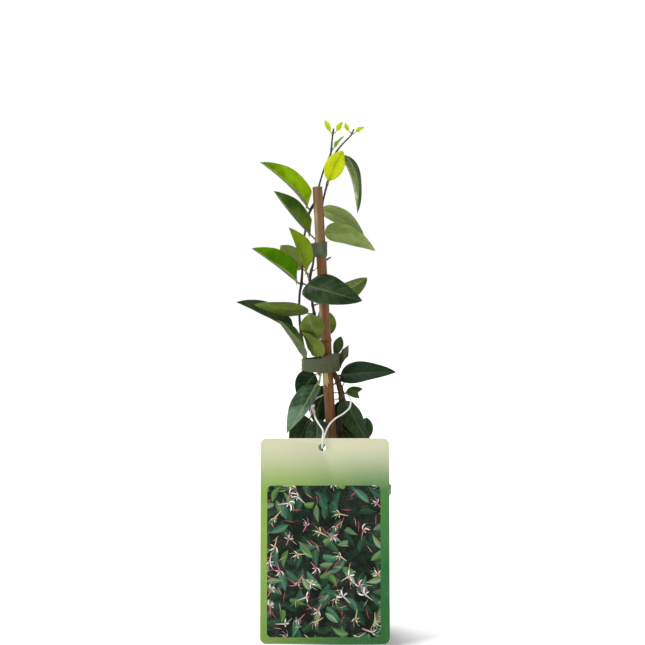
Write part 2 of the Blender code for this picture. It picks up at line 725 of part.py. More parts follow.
def build_string():
    """Make the string that carries the card, and its knot at the left shoot."""
    line = [(*p, STRING_DIAMETER / 2) for p in smooth_curve(string_route(), STRING_POINTS)]
    tube("label_string", line, material("label_string", WHITE_TWINE), 2)
    data = bpy.data.meshes.new("string_knot")
    work = bmesh.new()
    bmesh.ops.create_icosphere(work, subdivisions=2, radius=1.5 * MM)
    squash = Matrix.Diagonal((1.1, 0.9, 0.85, 1.0))
    shift = Matrix.Translation(Vector((-13.0, 1.2, 162.6)) * MM)
    bmesh.ops.transform(work, matrix=shift @ squash, verts=work.verts)
    work.to_mesh(data)
    work.free()
    add_object("string_knot", data, material("string_knot", WHITE_TWINE))


def build_dry_bract():
    """Make the dry straw-coloured bract that hangs in front of the cane below the tie."""
    middle = [(-3.4, -5.2, 190.0), (-3.2, -5.3, 184.0), (-2.4, -5.1, 179.5), (-1.8, -4.9, 176.6)]
    half_widths = (0.7, 1.3, 0.9, 0.35)
    points = []
    for (x, y, z), half in zip(middle, half_widths):
        points += [(x + half * s, y - 0.3 * (1 - s * s), z) for s in (-1.0, 0.0, 1.0)]
    data = mesh_from("dry_bract", points, sheet_triangles(4, 3))
    thicken(add_object("dry_bract", data, material("dry_bract", STRAW)), BLADE_THICKNESS)


def clear_scene():
    """Remove whatever objects the file opened with."""
    for old in list(bpy.data.objects):
        bpy.data.objects.remove(old, do_unlink=True)


def main():
    """Build the whole plant."""
    clear_scene()
    build_pot()
    build_soil()
    build_cane()
    for stem in (LEFT_SHOOT, RIGHT_SHOOT, SIDE_SHOOT):
        stem.build()
    for leaf in LEAVES:
        build_leaf(leaf)
    build_strip("tie_upper", UPPER_TIE, 30, TAPE_GREEN)
    build_strip("tie_lower", LOWER_TIE, 44, TAPE_GREEN)
    build_label()
    build_string()
    build_dry_bract()


main()
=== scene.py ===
"""Young honeysuckle vine on a bamboo cane, in a round nursery pot with a hanging picture label.

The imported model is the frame: every piece here stands where its CAD node stands and rides on it. Tables and
sizes are in millimetres, as a grower would measure them, and MM turns them into the frame's metres. +Z is
up and the label faces -Y.
"""

import logging
import math
import random
from collections.abc import Callable, Sequence
from dataclasses import dataclass
from enum import Enum
from functools import partialmethod

import bpy
from mathutils import Matrix, Vector, noise


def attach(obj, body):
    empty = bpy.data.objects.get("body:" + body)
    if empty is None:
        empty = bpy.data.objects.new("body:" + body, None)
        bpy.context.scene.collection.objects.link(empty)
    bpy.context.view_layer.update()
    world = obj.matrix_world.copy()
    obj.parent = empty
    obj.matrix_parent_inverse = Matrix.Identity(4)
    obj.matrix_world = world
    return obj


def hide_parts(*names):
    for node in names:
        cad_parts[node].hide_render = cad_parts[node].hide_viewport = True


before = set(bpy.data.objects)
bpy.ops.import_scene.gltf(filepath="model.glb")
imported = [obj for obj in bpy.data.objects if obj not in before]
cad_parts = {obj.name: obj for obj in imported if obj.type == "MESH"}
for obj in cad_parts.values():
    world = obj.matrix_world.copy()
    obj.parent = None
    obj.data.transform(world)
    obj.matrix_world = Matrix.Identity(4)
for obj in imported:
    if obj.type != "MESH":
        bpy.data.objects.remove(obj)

LOG = logging.getLogger("honeysuckle")
MM = 0.001
BODY = "root"

# How the side veins of every leaf run, in relief and in colour: how many pairs there are, how far they slant
# and curl towards the tip, and how far those of one half are shifted from the other's.
VEIN_PAIRS = 7.0
VEIN_SLANT = 0.12
VEIN_CURL = 0.14
VEIN_SHIFT = 0.4

Point = tuple[float, float, float]
Colour = Point
Ring = tuple[float, float, float, float]
Piece = bpy.types.Object
Material = bpy.types.Material
Socket = bpy.types.NodeSocket
Value = float | Colour | Vector | Socket
Feeds = dict[str | int, Value]


# Mesh tools


def deselect_all() -> None:
    """Deselect every piece, so that the next operator takes in no other."""
    bpy.ops.object.select_all(action="DESELECT")


def use_only(piece: Piece) -> None:
    """Select one piece and make it active."""
    deselect_all()
    piece.select_set(True)
    bpy.context.view_layer.objects.active = piece


def new_piece(name: str) -> Piece:
    """Name the primitive that was just added, and its mesh."""
    piece = bpy.context.object
    piece.name = name
    piece.data.name = name
    return piece


def flat_grid(name: str, across: int, along: int) -> Piece:
    """Add a one-metre flat grid, ready to be shaped.

    Args:
        name: The piece's name.
        across: Faces along X.
        along: Faces along Y.

    Returns:
        The new piece.
    """
    deselect_all()
    bpy.ops.mesh.primitive_grid_add(x_subdivisions=across, y_subdivisions=along, size=1.0, calc_uvs=True)
    return new_piece(name)


def shape_sheet(
    piece: Piece,
    place: Callable[[float, float], Vector],
    chart: Callable[[float, float], tuple[float, float]] | None = None,
) -> None:
    """Move a flat grid's points to where they belong, and lay out its UV map.

    Args:
        piece: A grid from flat_grid.
        place: Gives a point in millimetres from the shares across and along.
        chart: Gives the UV of the same shares, if it isn't the shares themselves.
    """
    mesh = piece.data
    shares = [(v.co.x + 0.5, v.co.y + 0.5) for v in mesh.vertices]
    for vertex, share in zip(mesh.vertices, shares):
        vertex.co = place(*share) * MM
    if chart:
        layer = mesh.uv_layers.active.data
        for loop in mesh.loops:
            layer[loop.index].uv = chart(*shares[loop.vertex_index])


def close_up(piece: Piece, fill: bool = True, gap: float = 2e-6) -> None:
    """Merge a wrapped grid's seams and poles, fill its open ends and turn its faces outwards.

    Args:
        piece: The wrapped grid.
        fill: Whether open rings get an end face.
        gap: How near two points are merged, in metres.
    """
    use_only(piece)
    bpy.ops.object.mode_set(mode="EDIT")
    bpy.ops.mesh.select_all(action="SELECT")
    bpy.ops.mesh.remove_doubles(threshold=gap)
    if fill:
        bpy.ops.mesh.fill_holes(sides=0)
    bpy.ops.mesh.select_all(action="SELECT")
    bpy.ops.mesh.normals_make_consistent(inside=False)
    bpy.ops.object.mode_set(mode="OBJECT")


def smooth_shade(piece: Piece, angle: float | None = None) -> None:
    """Shade a piece smooth, all over or under an angle in degrees."""
    use_only(piece)
    if angle is None:
        bpy.ops.object.shade_smooth()
    else:
        bpy.ops.object.shade_smooth_by_angle(angle=math.radians(angle))


def apply_modifier(piece: Piece, kind: str, **settings: object) -> None:
    """Add a modifier with its settings and apply it."""
    use_only(piece)
    made = piece.modifiers.new(kind.title(), kind)
    for key, value in settings.items():
        setattr(made, key, value)
    bpy.ops.object.modifier_apply(modifier=made.name)


def join_pieces(pieces: Sequence[Piece]) -> Piece:
    """Join pieces into the first of them and return it."""
    use_only(pieces[0])
    for piece in pieces:
        piece.select_set(True)
    bpy.ops.object.join()
    return pieces[0]


def cut_away(piece: Piece, cutter: Piece) -> None:
    """Cut a cutter's shape out of a piece and remove the cutter."""
    apply_modifier(piece, "BOOLEAN", operation="DIFFERENCE", solver="EXACT", object=cutter)
    bpy.data.objects.remove(cutter)


def round_about(radius: float, share: float, height: float) -> Vector:
    """Give the point at a share of a full turn round the Z axis."""
    angle = 2 * math.pi * share
    return Vector((radius * math.cos(angle), radius * math.sin(angle), height))


def curve_value(p0: float, p1: float, p2: float, p3: float, t: float) -> float:
    """Read a Catmull-Rom curve between p1 and p2."""
    slope = (p2 - p0) * t
    bend = (2 * p0 - 5 * p1 + 4 * p2 - p3) * t * t
    return 0.5 * (2 * p1 + slope + bend + (3 * p1 - p0 - 3 * p2 + p3) * t**3)


def smooth_route(points: Sequence[Sequence[float]], count: int) -> list[tuple[float, ...]]:
    """Read evenly spaced points from a Catmull-Rom curve through the given points.

    Args:
        points: Points of any length, so a radius can ride along with the place.
        count: How many points to read.

    Returns:
        The points, each as long as the given ones.
    """
    first = tuple(2 * a - b for a, b in zip(points[0], points[1]))
    last = tuple(2 * a - b for a, b in zip(points[-1], points[-2]))
    padded = [first, *points, last]
    fine: list[tuple[float, ...]] = []
    per_span = 16
    for i in range(len(points) - 1):
        spans = list(zip(*padded[i : i + 4]))
        fine += [tuple(curve_value(*span, k / per_span) for span in spans) for k in range(per_span)]
    fine.append(tuple(points[-1]))
    lengths = [0.0]
    for a, b in zip(fine, fine[1:]):
        lengths.append(lengths[-1] + math.dist(a[:3], b[:3]))
    read: list[tuple[float, ...]] = []
    j = 0
    for i in range(count):
        goal = lengths[-1] * i / (count - 1)
        while j < len(fine) - 2 and lengths[j + 1] < goal:
            j += 1
        share = (goal - lengths[j]) / max(lengths[j + 1] - lengths[j], 1e-9)
        read.append(tuple(a + (b - a) * share for a, b in zip(fine[j], fine[j + 1])))
    return read


def rod(
    name: str,
    rings: Sequence[Ring],
    sides: int,
    swell: Callable[[float, float], float] | None = None,
) -> Piece:
    """Sweep a closed round rod along rings of (x, y, z, radius), in millimetres.

    Args:
        name: The piece's name.
        rings: The rod's centre points with its radius at each.
        sides: Faces round the rod.
        swell: Gives a factor on the radius from the share round and the share along.

    Returns:
        The rod, with UV in centimetres along it and the share round it.
    """
    centres = [Vector(r[:3]) for r in rings]
    last = len(centres) - 1
    ways = [(centres[min(i + 1, last)] - centres[max(i - 1, 0)]).normalized() for i in range(last + 1)]
    side = ways[0].orthogonal().normalized()
    frames: list[tuple[Vector, Vector]] = []
    travelled = [0.0]
    for i, way in enumerate(ways):
        side = (side - way * side.dot(way)).normalized()
        frames.append((side, way.cross(side)))
        if i:
            travelled.append(travelled[-1] + (centres[i] - centres[i - 1]).length)

    def place(a: float, b: float) -> Vector:
        i = round(b * last)
        angle = 2 * math.pi * a
        reach = rings[i][3] * (swell(a, b) if swell else 1.0)
        return centres[i] + (frames[i][0] * math.cos(angle) + frames[i][1] * math.sin(angle)) * reach

    piece = flat_grid(name, sides, last)
    shape_sheet(piece, place, lambda a, b: (a, travelled[round(b * last)] / 10))
    close_up(piece)
    smooth_shade(piece, 50)
    return piece


def lathe(name: str, profile: Sequence[tuple[float, float]], sides: int) -> Piece:
    """Turn a profile of (radius, height) in millimetres that starts and ends on the axis."""
    last = len(profile) - 1

    def place(a: float, b: float) -> Vector:
        radius, height = profile[round(b * last)]
        return round_about(radius, a, height)

    piece = flat_grid(name, sides, last)
    shape_sheet(piece, place)
    close_up(piece, fill=False)
    return piece


def two_ply(size: float, swing: float, turns: float) -> Callable[[float, float], float]:
    """Give the swelling of a twisted rod of two strands, from the shares round and along it."""
    return lambda a, b: size + swing * math.cos(4 * math.pi * (a - turns * b))


def hand_over(piece: Piece, slot: str, node: str, *skins: Material) -> Piece:
    """Dress a finished piece, let it ride, and hide the CAD node that it stands for."""
    for skin in skins:
        piece.data.materials.append(skin)
    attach(piece, BODY)
    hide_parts(node)
    LOG.info("%s: %d faces", piece.name, len(piece.data.polygons))
    return piece


# Shader tools


class Wiring:
    """Adds nodes to one node tree and links them."""

    def __init__(self, tree: bpy.types.NodeTree) -> None:
        """Keep the tree."""
        self.tree = tree

    def add(self, kind: str, feeds: Feeds | None = None, **settings: object) -> bpy.types.Node:
        """Add a node.

        Args:
            kind: The node's type, without its ShaderNode prefix.
            feeds: Input sockets with the number, colour or socket that feeds each.
            settings: The node's own settings.

        Returns:
            The node.
        """
        node = self.tree.nodes.new("ShaderNode" + kind)
        for key, value in settings.items():
            setattr(node, key, value)
        for key, value in (feeds or {}).items():
            self.feed(node.inputs[key], value)
        return node

    def feed(self, socket: Socket, value: Value) -> None:
        """Link a socket, or set its own value."""
        if isinstance(value, Socket):
            self.tree.links.new(value, socket)
        elif socket.type == "RGBA":
            socket.default_value = (*value, 1.0)
        else:
            socket.default_value = value

    def maths(self, operation: str, *values: Value) -> Socket:
        """Work out one number from others."""
        return self.add("Math", dict(enumerate(values)), operation=operation).outputs[0]

    # The sums that the materials need most often.
    times = partialmethod(maths, "MULTIPLY")
    plus = partialmethod(maths, "ADD")
    minus = partialmethod(maths, "SUBTRACT")
    times_plus = partialmethod(maths, "MULTIPLY_ADD")
    absolute = partialmethod(maths, "ABSOLUTE")

    def blend(self, share: Value, first: Value, second: Value) -> Socket:
        """Mix two colours by a share."""
        return self.add("Mix", {0: share, 6: first, 7: second}, data_type="RGBA").outputs[2]

    def ease(
        self, value: Value, low: float, high: float, start: float = 0.0, end: float = 1.0
    ) -> Socket:
        """Pass smoothly from start to end while the value goes from low to high."""
        feeds: Feeds = {0: value, 1: low, 2: high, 3: start, 4: end}
        return self.add("MapRange", feeds, interpolation_type="SMOOTHSTEP").outputs[0]

    def split(self, vector: Value) -> tuple[Socket, ...]:
        """Give a vector's three numbers."""
        return tuple(self.add("SeparateXYZ", {0: vector}).outputs)

    def scaled(self, vector: Value, x: float, y: float, z: float) -> Socket:
        """Stretch a vector along its own axes."""
        return self.add("VectorMath", {0: vector, 1: Vector((x, y, z))}, operation="MULTIPLY").outputs[0]

    def cloud(
        self, place: Value, scale: float, detail: float = 3.0, roughness: float = 0.55
    ) -> Socket:
        """Give soft noise from 0 to 1."""
        feeds: Feeds = {"Vector": place, "Scale": scale, "Detail": detail, "Roughness": roughness}
        return self.add("TexNoise", feeds).outputs[0]

    def grown(self, vector: Value, factor: Value) -> Socket:
        """Scale a vector by one number."""
        return self.add("VectorMath", {0: vector, "Scale": factor}, operation="SCALE").outputs[0]

    def cells(self, place: Value, scale: float, feature: str = "F1") -> bpy.types.Node:
        """Add a cell pattern."""
        return self.add("TexVoronoi", {"Vector": place, "Scale": scale}, feature=feature)

    def bump(self, height: Value, strength: float, distance: float) -> Socket:
        """Turn a height into a normal; the distance is in millimetres."""
        feeds: Feeds = {"Height": height, "Strength": strength, "Distance": distance * MM}
        return self.add("Bump", feeds).outputs[0]

    def place(self) -> Socket:
        """Give the piece's own coordinates."""
        return self.add("TexCoord").outputs["Object"]

    def chart(self) -> Socket:
        """Give the piece's UV map."""
        return self.add("TexCoord").outputs["UV"]


class Paint(Wiring):
    """One material with a Principled shader."""

    def __init__(self, name: str) -> None:
        """Make the material and keep its shader."""
        self.material = bpy.data.materials.new(name)
        self.material.use_nodes = True
        super().__init__(self.material.node_tree)
        self.shader = self.tree.nodes["Principled BSDF"]
        self.output = self.tree.nodes["Material Output"]

    def set(self, **values: Value) -> None:
        """Feed the shader's sockets, named with underscores for spaces."""
        for key, value in values.items():
            self.feed(self.shader.inputs[key.replace("_", " ")], value)

    def let_light_through(self, colour: Value, share: float) -> None:
        """Mix some translucent glow into the shader."""
        glow = self.add("BsdfTranslucent", {"Color": colour})
        mixed = self.add("MixShader", {0: share})
        self.tree.links.new(self.shader.outputs[0], mixed.inputs[1])
        self.tree.links.new(glow.outputs[0], mixed.inputs[2])
        self.tree.links.new(mixed.outputs[0], self.output.inputs[0])

    def use(self, group: bpy.types.NodeTree, **feeds: Value) -> bpy.types.bpy_prop_collection:
        """Place a shared effect in this material and give its outputs."""
        return self.add("Group", feeds, node_tree=group).outputs


class Effect(Wiring):
    """A shared effect: a node group that works out masks from a vector and some numbers."""

    def __init__(self, name: str, vector: str, numbers: Sequence[str], masks: Sequence[str]) -> None:
        """Make the group and its sockets.

        Args:
            name: The group's name.
            vector: The name of the vector that goes in.
            numbers: The names of the numbers that go in.
            masks: The names of the masks that come out.
        """
        self.group = bpy.data.node_groups.new(name, "ShaderNodeTree")
        new_socket = self.group.interface.new_socket
        new_socket(name=vector, in_out="INPUT", socket_type="NodeSocketVector")
        for way, names in (("INPUT", numbers), ("OUTPUT", masks)):
            for key in names:
                new_socket(name=key, in_out=way, socket_type="NodeSocketFloat")
        super().__init__(self.group)
        self.given = self.tree.nodes.new("NodeGroupInput").outputs
        self.made = self.tree.nodes.new("NodeGroupOutput").inputs

    def finish(self, *masks: Value) -> bpy.types.NodeTree:
        """Feed the masks, in their order, and give the group."""
        for socket, value in zip(self.made, masks):
            self.feed(socket, value)
        return self.group


def leaf_veins() -> bpy.types.NodeTree:
    """Make the effect that draws a leaf's midrib, side veins and fine net from its UV map.

    Returns:
        A group with the masks Rib, Veins and Net, the mask Hem along the margin, and Height.
    """
    effect = Effect("leaf veins", "Chart", (), ("Rib", "Veins", "Net", "Hem", "Height"))
    across, along, _ = effect.split(effect.given["Chart"])
    signed = effect.times_plus(across, 2.0, -1.0)
    away = effect.absolute(signed)
    room = effect.times(along, effect.minus(1.02, along))
    broad = effect.maths("POWER", effect.times(room, 4.0), 0.6)
    real_away = effect.times(away, broad)
    rib = effect.ease(real_away, 0.02, 0.09, 1.0, 0.0)
    bend = effect.times(away, effect.times_plus(away, VEIN_CURL, VEIN_SLANT))
    offset = effect.times(effect.maths("GREATER_THAN", signed, 0.0), VEIN_SHIFT)
    climbing = effect.minus(along, bend)
    phase = effect.plus(effect.times(climbing, VEIN_PAIRS), offset)
    wander = effect.cloud(effect.scaled(effect.given["Chart"], 3.0, 9.0, 1.0), 1.0, 2.0)
    phase = effect.plus(phase, effect.times(wander, 0.35))
    between = effect.maths("PINGPONG", phase, 0.5)
    fade = effect.ease(away, 0.7, 1.0, 1.0, 0.0)
    veins = effect.times(effect.ease(between, 0.015, 0.075, 1.0, 0.0), fade)
    mesh_place = effect.scaled(effect.given["Chart"], 13.0, 30.0, 1.0)
    edge = effect.cells(mesh_place, 1.0, "DISTANCE_TO_EDGE").outputs["Distance"]
    net = effect.ease(edge, 0.0, 0.09, 1.0, 0.0)
    hem = effect.ease(away, 0.86, 1.0)
    quilt = effect.times(effect.ease(between, 0.0, 0.4), fade)
    sunk = effect.plus(rib, effect.times(net, 0.04))
    return effect.finish(rib, veins, net, hem, effect.minus(quilt, sunk))


def long_grain() -> bpy.types.NodeTree:
    """Make the effect of fibres that run up a stem or cane.

    Returns:
        A group with the masks Fibre, Streak and Speck.
    """
    effect = Effect("long grain", "Place", ("Fineness",), ("Fibre", "Streak", "Speck"))
    place = effect.grown(effect.given["Place"], effect.given["Fineness"])
    fibre = effect.cloud(effect.scaled(place, 2600.0, 2600.0, 90.0), 1.0, 3.0, 0.6)
    streak = effect.cloud(effect.scaled(place, 700.0, 700.0, 26.0), 1.0, 2.0, 0.5)
    speck = effect.cells(place, 700.0).outputs["Distance"]
    return effect.finish(fibre, streak, effect.ease(speck, 0.08, 0.22, 1.0, 0.0))


def fine_dust() -> bpy.types.NodeTree:
    """Make the effect of dust and dried splashes that lie on the pot and the card.

    Returns:
        A group with the mask Dust.
    """
    effect = Effect("fine dust", "Place", ("Amount",), ("Dust",))
    coarse = effect.cloud(effect.given["Place"], 60.0, 5.0, 0.65)
    fine = effect.cloud(effect.given["Place"], 900.0, 2.0, 0.6)
    dust = effect.times(effect.ease(coarse, 0.42, 0.72), effect.ease(fine, 0.35, 0.7))
    return effect.finish(effect.times(dust, effect.given["Amount"]))


def scattered_shapes(effect: Effect) -> tuple[Socket, Socket, tuple]:
    """Scatter one shape in each cell of a flat pattern, each turned its own way.

    Args:
        effect: The effect to build in, with the inputs Place, Scale and Seed.

    Returns:
        The shape's own two coordinates, and three numbers drawn for the cell.
    """
    grown = effect.grown(effect.given["Place"], effect.given["Scale"])
    seed = effect.given["Seed"]
    shift = effect.add("CombineXYZ", {0: seed, 1: effect.times(seed, 1.73)}).outputs[0]
    spot = effect.add("VectorMath", {0: grown, 1: shift}, operation="ADD").outputs[0]
    feeds: Feeds = {"Vector": spot, "Scale": 1.0, "Randomness": 0.9}
    cell = effect.add("TexVoronoi", feeds, voronoi_dimensions="2D")
    local = effect.add("VectorMath", {0: spot, 1: cell.outputs["Position"]}, operation="SUBTRACT").outputs[0]
    drawn = effect.split(cell.outputs["Color"])
    angle = effect.times(drawn[0], 2 * math.pi)
    turned = effect.add("VectorRotate", {"Vector": local, "Angle": angle}, rotation_type="Z_AXIS").outputs[0]
    x, y, _ = effect.split(turned)
    return x, y, drawn


def printed_leaf() -> bpy.types.NodeTree:
    """Make the effect of a layer of scattered slender leaves, or buds, as printed on a card.

    Returns:
        A group with the masks Mask, Rib and Half, and the number Tone, which differs from leaf to leaf.
    """
    numbers = ("Scale", "Seed", "Long", "Wide", "Kept")
    effect = Effect("printed leaf", "Place", numbers, ("Mask", "Rib", "Half", "Tone"))
    x, y, drawn = scattered_shapes(effect)
    bend = effect.minus(drawn[1], 0.5)
    bowed = effect.plus(y, effect.times(bend, effect.times(x, x)))
    along = effect.maths("DIVIDE", x, effect.given["Long"])
    full = effect.minus(1.0, effect.times(along, along))
    belly = effect.times_plus(along, -0.4, 1.0)
    reach = effect.times(effect.given["Wide"], effect.times(full, belly))
    away = effect.absolute(bowed)
    inside = effect.minus(reach, away)
    kept = effect.maths("LESS_THAN", drawn[2], effect.given["Kept"])
    mask = effect.times(effect.ease(inside, 0.0, 0.025), kept)
    rib = effect.ease(away, 0.006, 0.022, 1.0, 0.0)
    half = effect.ease(bowed, -0.01, 0.01, 0.45, 1.0)
    half = effect.times(half, effect.ease(inside, 0.0, 0.09))
    return effect.finish(mask, rib, half, effect.maths("FRACT", effect.times(drawn[2], 7.3)))


def printed_blossom() -> bpy.types.NodeTree:
    """Make the effect of a layer of scattered spidery blossoms: curled petals and long stamens.

    Returns:
        A group with the masks Mask and Heart.
    """
    effect = Effect("printed blossom", "Place", ("Scale", "Seed", "Kept"), ("Mask", "Heart"))
    x, y, drawn = scattered_shapes(effect)
    radius = effect.maths("SQRT", effect.times_plus(x, x, effect.times(y, y)))
    angle = effect.maths("ARCTAN2", y, x)
    curl = effect.times(radius, effect.times_plus(drawn[1], 5.0, -2.5))
    swirled = effect.plus(angle, curl)
    lobes = effect.absolute(effect.maths("COSINE", effect.times(swirled, 2.5)))
    petal = effect.times(effect.maths("POWER", lobes, 6.0), 0.36)
    ahead = effect.maths("COSINE", angle)
    uneven = effect.times_plus(drawn[1], 0.5, 0.6)
    uneven = effect.times(effect.ease(ahead, -0.75, 0.5), uneven)
    petals = effect.ease(effect.minus(effect.times(petal, uneven), radius), 0.0, 0.02)
    spread = effect.maths("COSINE", effect.times_plus(swirled, 5.0, 0.8))
    threads = effect.times(effect.maths("POWER", effect.absolute(spread), 90.0), 0.46)
    threads = effect.times(threads, effect.ease(ahead, 0.3, 0.8))
    stamens = effect.ease(effect.minus(threads, radius), 0.0, 0.02)
    bowed = effect.plus(y, effect.times(effect.minus(drawn[1], 0.5), radius))
    flare = effect.times_plus(x, 0.05, 0.036)
    tube = effect.ease(effect.minus(flare, effect.absolute(bowed)), 0.0, 0.012)
    tube = effect.times(tube, effect.maths("LESS_THAN", x, 0.02))
    tube = effect.times(tube, effect.maths("GREATER_THAN", x, -0.42))
    both = effect.maths("MAXIMUM", effect.maths("MAXIMUM", petals, stamens), tube)
    kept = effect.maths("LESS_THAN", drawn[2], effect.given["Kept"])
    heart = effect.maths("MAXIMUM", effect.ease(radius, 0.02, 0.14, 1.0, 0.0), tube)
    return effect.finish(effect.times(both, kept), heart)


VEINS = leaf_veins()
GRAIN = long_grain()
DUST = fine_dust()
PRINTED_LEAF = printed_leaf()
PRINTED_BLOSSOM = printed_blossom()


# Leaves


@dataclass(frozen=True)
class LeafSide:
    """The skin of one side of a leaf.

    Attributes:
        shade: Its darker colour.
        light: Its lighter colour.
        rib: The colour of the midrib and veins.
        glow: The colour of light that comes through.
        clear: The share of light that comes through.
        roughness: How matt it is.
        marked: How plainly the veins show in colour.
        relief: How strongly they show in relief; below 0 they stand out.
        hem: The colour of the margin.
        hemmed: How strongly the margin differs.
        gloss: How strongly it reflects.
        tipward: How much lighter it grows towards the tip; below 0 it grows darker.
        painted_half_shade: How much lighter one half is than the other, as its UV map runs across: painted
            light and shade, as on a folded leaf whose halves face the light unevenly.
    """

    shade: Colour
    light: Colour
    rib: Colour
    glow: Colour
    clear: float = 0.25
    roughness: float = 0.42
    marked: float = 0.3
    relief: float = 0.4
    hem: Colour = (0.10, 0.13, 0.04)
    hemmed: float = 0.25
    gloss: float = 0.15
    tipward: float = 0.0
    painted_half_shade: float = 0.0

    def dress(self, name: str) -> Material:
        """Make the material of this side."""
        paint = Paint(name)
        place = paint.place()
        chart = paint.chart()
        veins = paint.use(VEINS, Chart=chart)
        across, along, _ = paint.split(chart)
        grown = paint.times(paint.minus(along, 0.5), 0.5 * self.tipward)
        # Painted light and shade: one half of the blade is painted lighter than the other, as a folded leaf's
        # halves are lit unevenly.
        grown = paint.times_plus(paint.minus(across, 0.5), 0.5 * self.painted_half_shade, grown)
        blotch = paint.ease(paint.plus(paint.cloud(place, 75.0, 3.0), grown), 0.34, 0.66)
        grain = paint.cloud(place, 1500.0, 2.0)
        colour = paint.blend(blotch, self.shade, self.light)
        colour = paint.blend(paint.times(grain, 0.16), colour, self.shade)
        net = paint.times(veins["Net"], 0.08 + 0.12 * self.marked)
        colour = paint.blend(net, colour, self.rib)
        colour = paint.blend(paint.times(veins["Hem"], self.hemmed), colour, self.hem)
        rib = paint.times(veins["Rib"], min(1.0, 2.2 * self.marked))
        drawn = paint.maths("MAXIMUM", paint.times(veins["Veins"], self.marked), rib)
        colour = paint.blend(drawn, colour, self.rib)
        rough = paint.times_plus(grain, 0.22, self.roughness - 0.1)
        raised = paint.times(veins["Height"], self.relief)
        height = paint.times_plus(grain, 0.06, raised)
        paint.set(Base_Color=colour, Roughness=rough, Normal=paint.bump(height, 0.7, 0.3))
        paint.set(Specular_IOR_Level=self.gloss)
        through = paint.blend(paint.times(drawn, 0.5), self.glow, self.shade)
        paint.let_light_through(through, self.clear)
        return paint.material


@dataclass(frozen=True)
class Underside(LeafSide):
    """The skin of a leaf's underside, which is more matt and where the veins stand out."""

    roughness: float = 0.6
    marked: float = 0.4
    relief: float = -0.4


class Tone(Enum):
    """How a leaf's two sides look, named for their colour or for the light and shade painted into them."""

    SUNLIT = "sunlit"
    GOLDEN = "golden"
    LEAFY = "leafy"
    MOSS = "moss"
    DEEP = "deep"
    NIGHT = "night"
    TEAL = "teal"
    OLIVE = "olive"
    BLUISH = "bluish"
    PALE = "pale"
    PALE_LIT = "pale_lit"
    SILVER = "silver"
    YOUNG = "young"


@dataclass(frozen=True)
class LeafTone:
    """A leaf's material slot, the colour of its stalk and its two sides."""

    slot: str
    stalk: Colour
    upper: LeafSide
    under: Underside

    def dress(self, name: str) -> tuple[Material, ...]:
        """Make the materials of the upper side, the underside and the stalk."""
        return (
            self.upper.dress(f"leaf {name} upper"),
            self.under.dress(f"leaf {name} under"),
            StalkSkin(self.stalk).dress(f"leaf {name} stalk"),
        )


@dataclass(frozen=True)
class StalkSkin:
    """The skin of a leaf's stalk and midrib."""

    colour: Colour

    def dress(self, name: str) -> Material:
        """Make the material."""
        paint = Paint(name)
        grain = paint.use(GRAIN, Place=paint.place(), Fineness=1.0)
        dark = tuple(0.55 * c for c in self.colour)
        colour = paint.blend(grain["Streak"], dark, self.colour)
        paint.set(Base_Color=colour, Roughness=paint.times_plus(grain["Fibre"], 0.2, 0.4))
        paint.set(Normal=paint.bump(grain["Fibre"], 0.4, 0.1), Subsurface_Weight=0.1)
        return paint.material


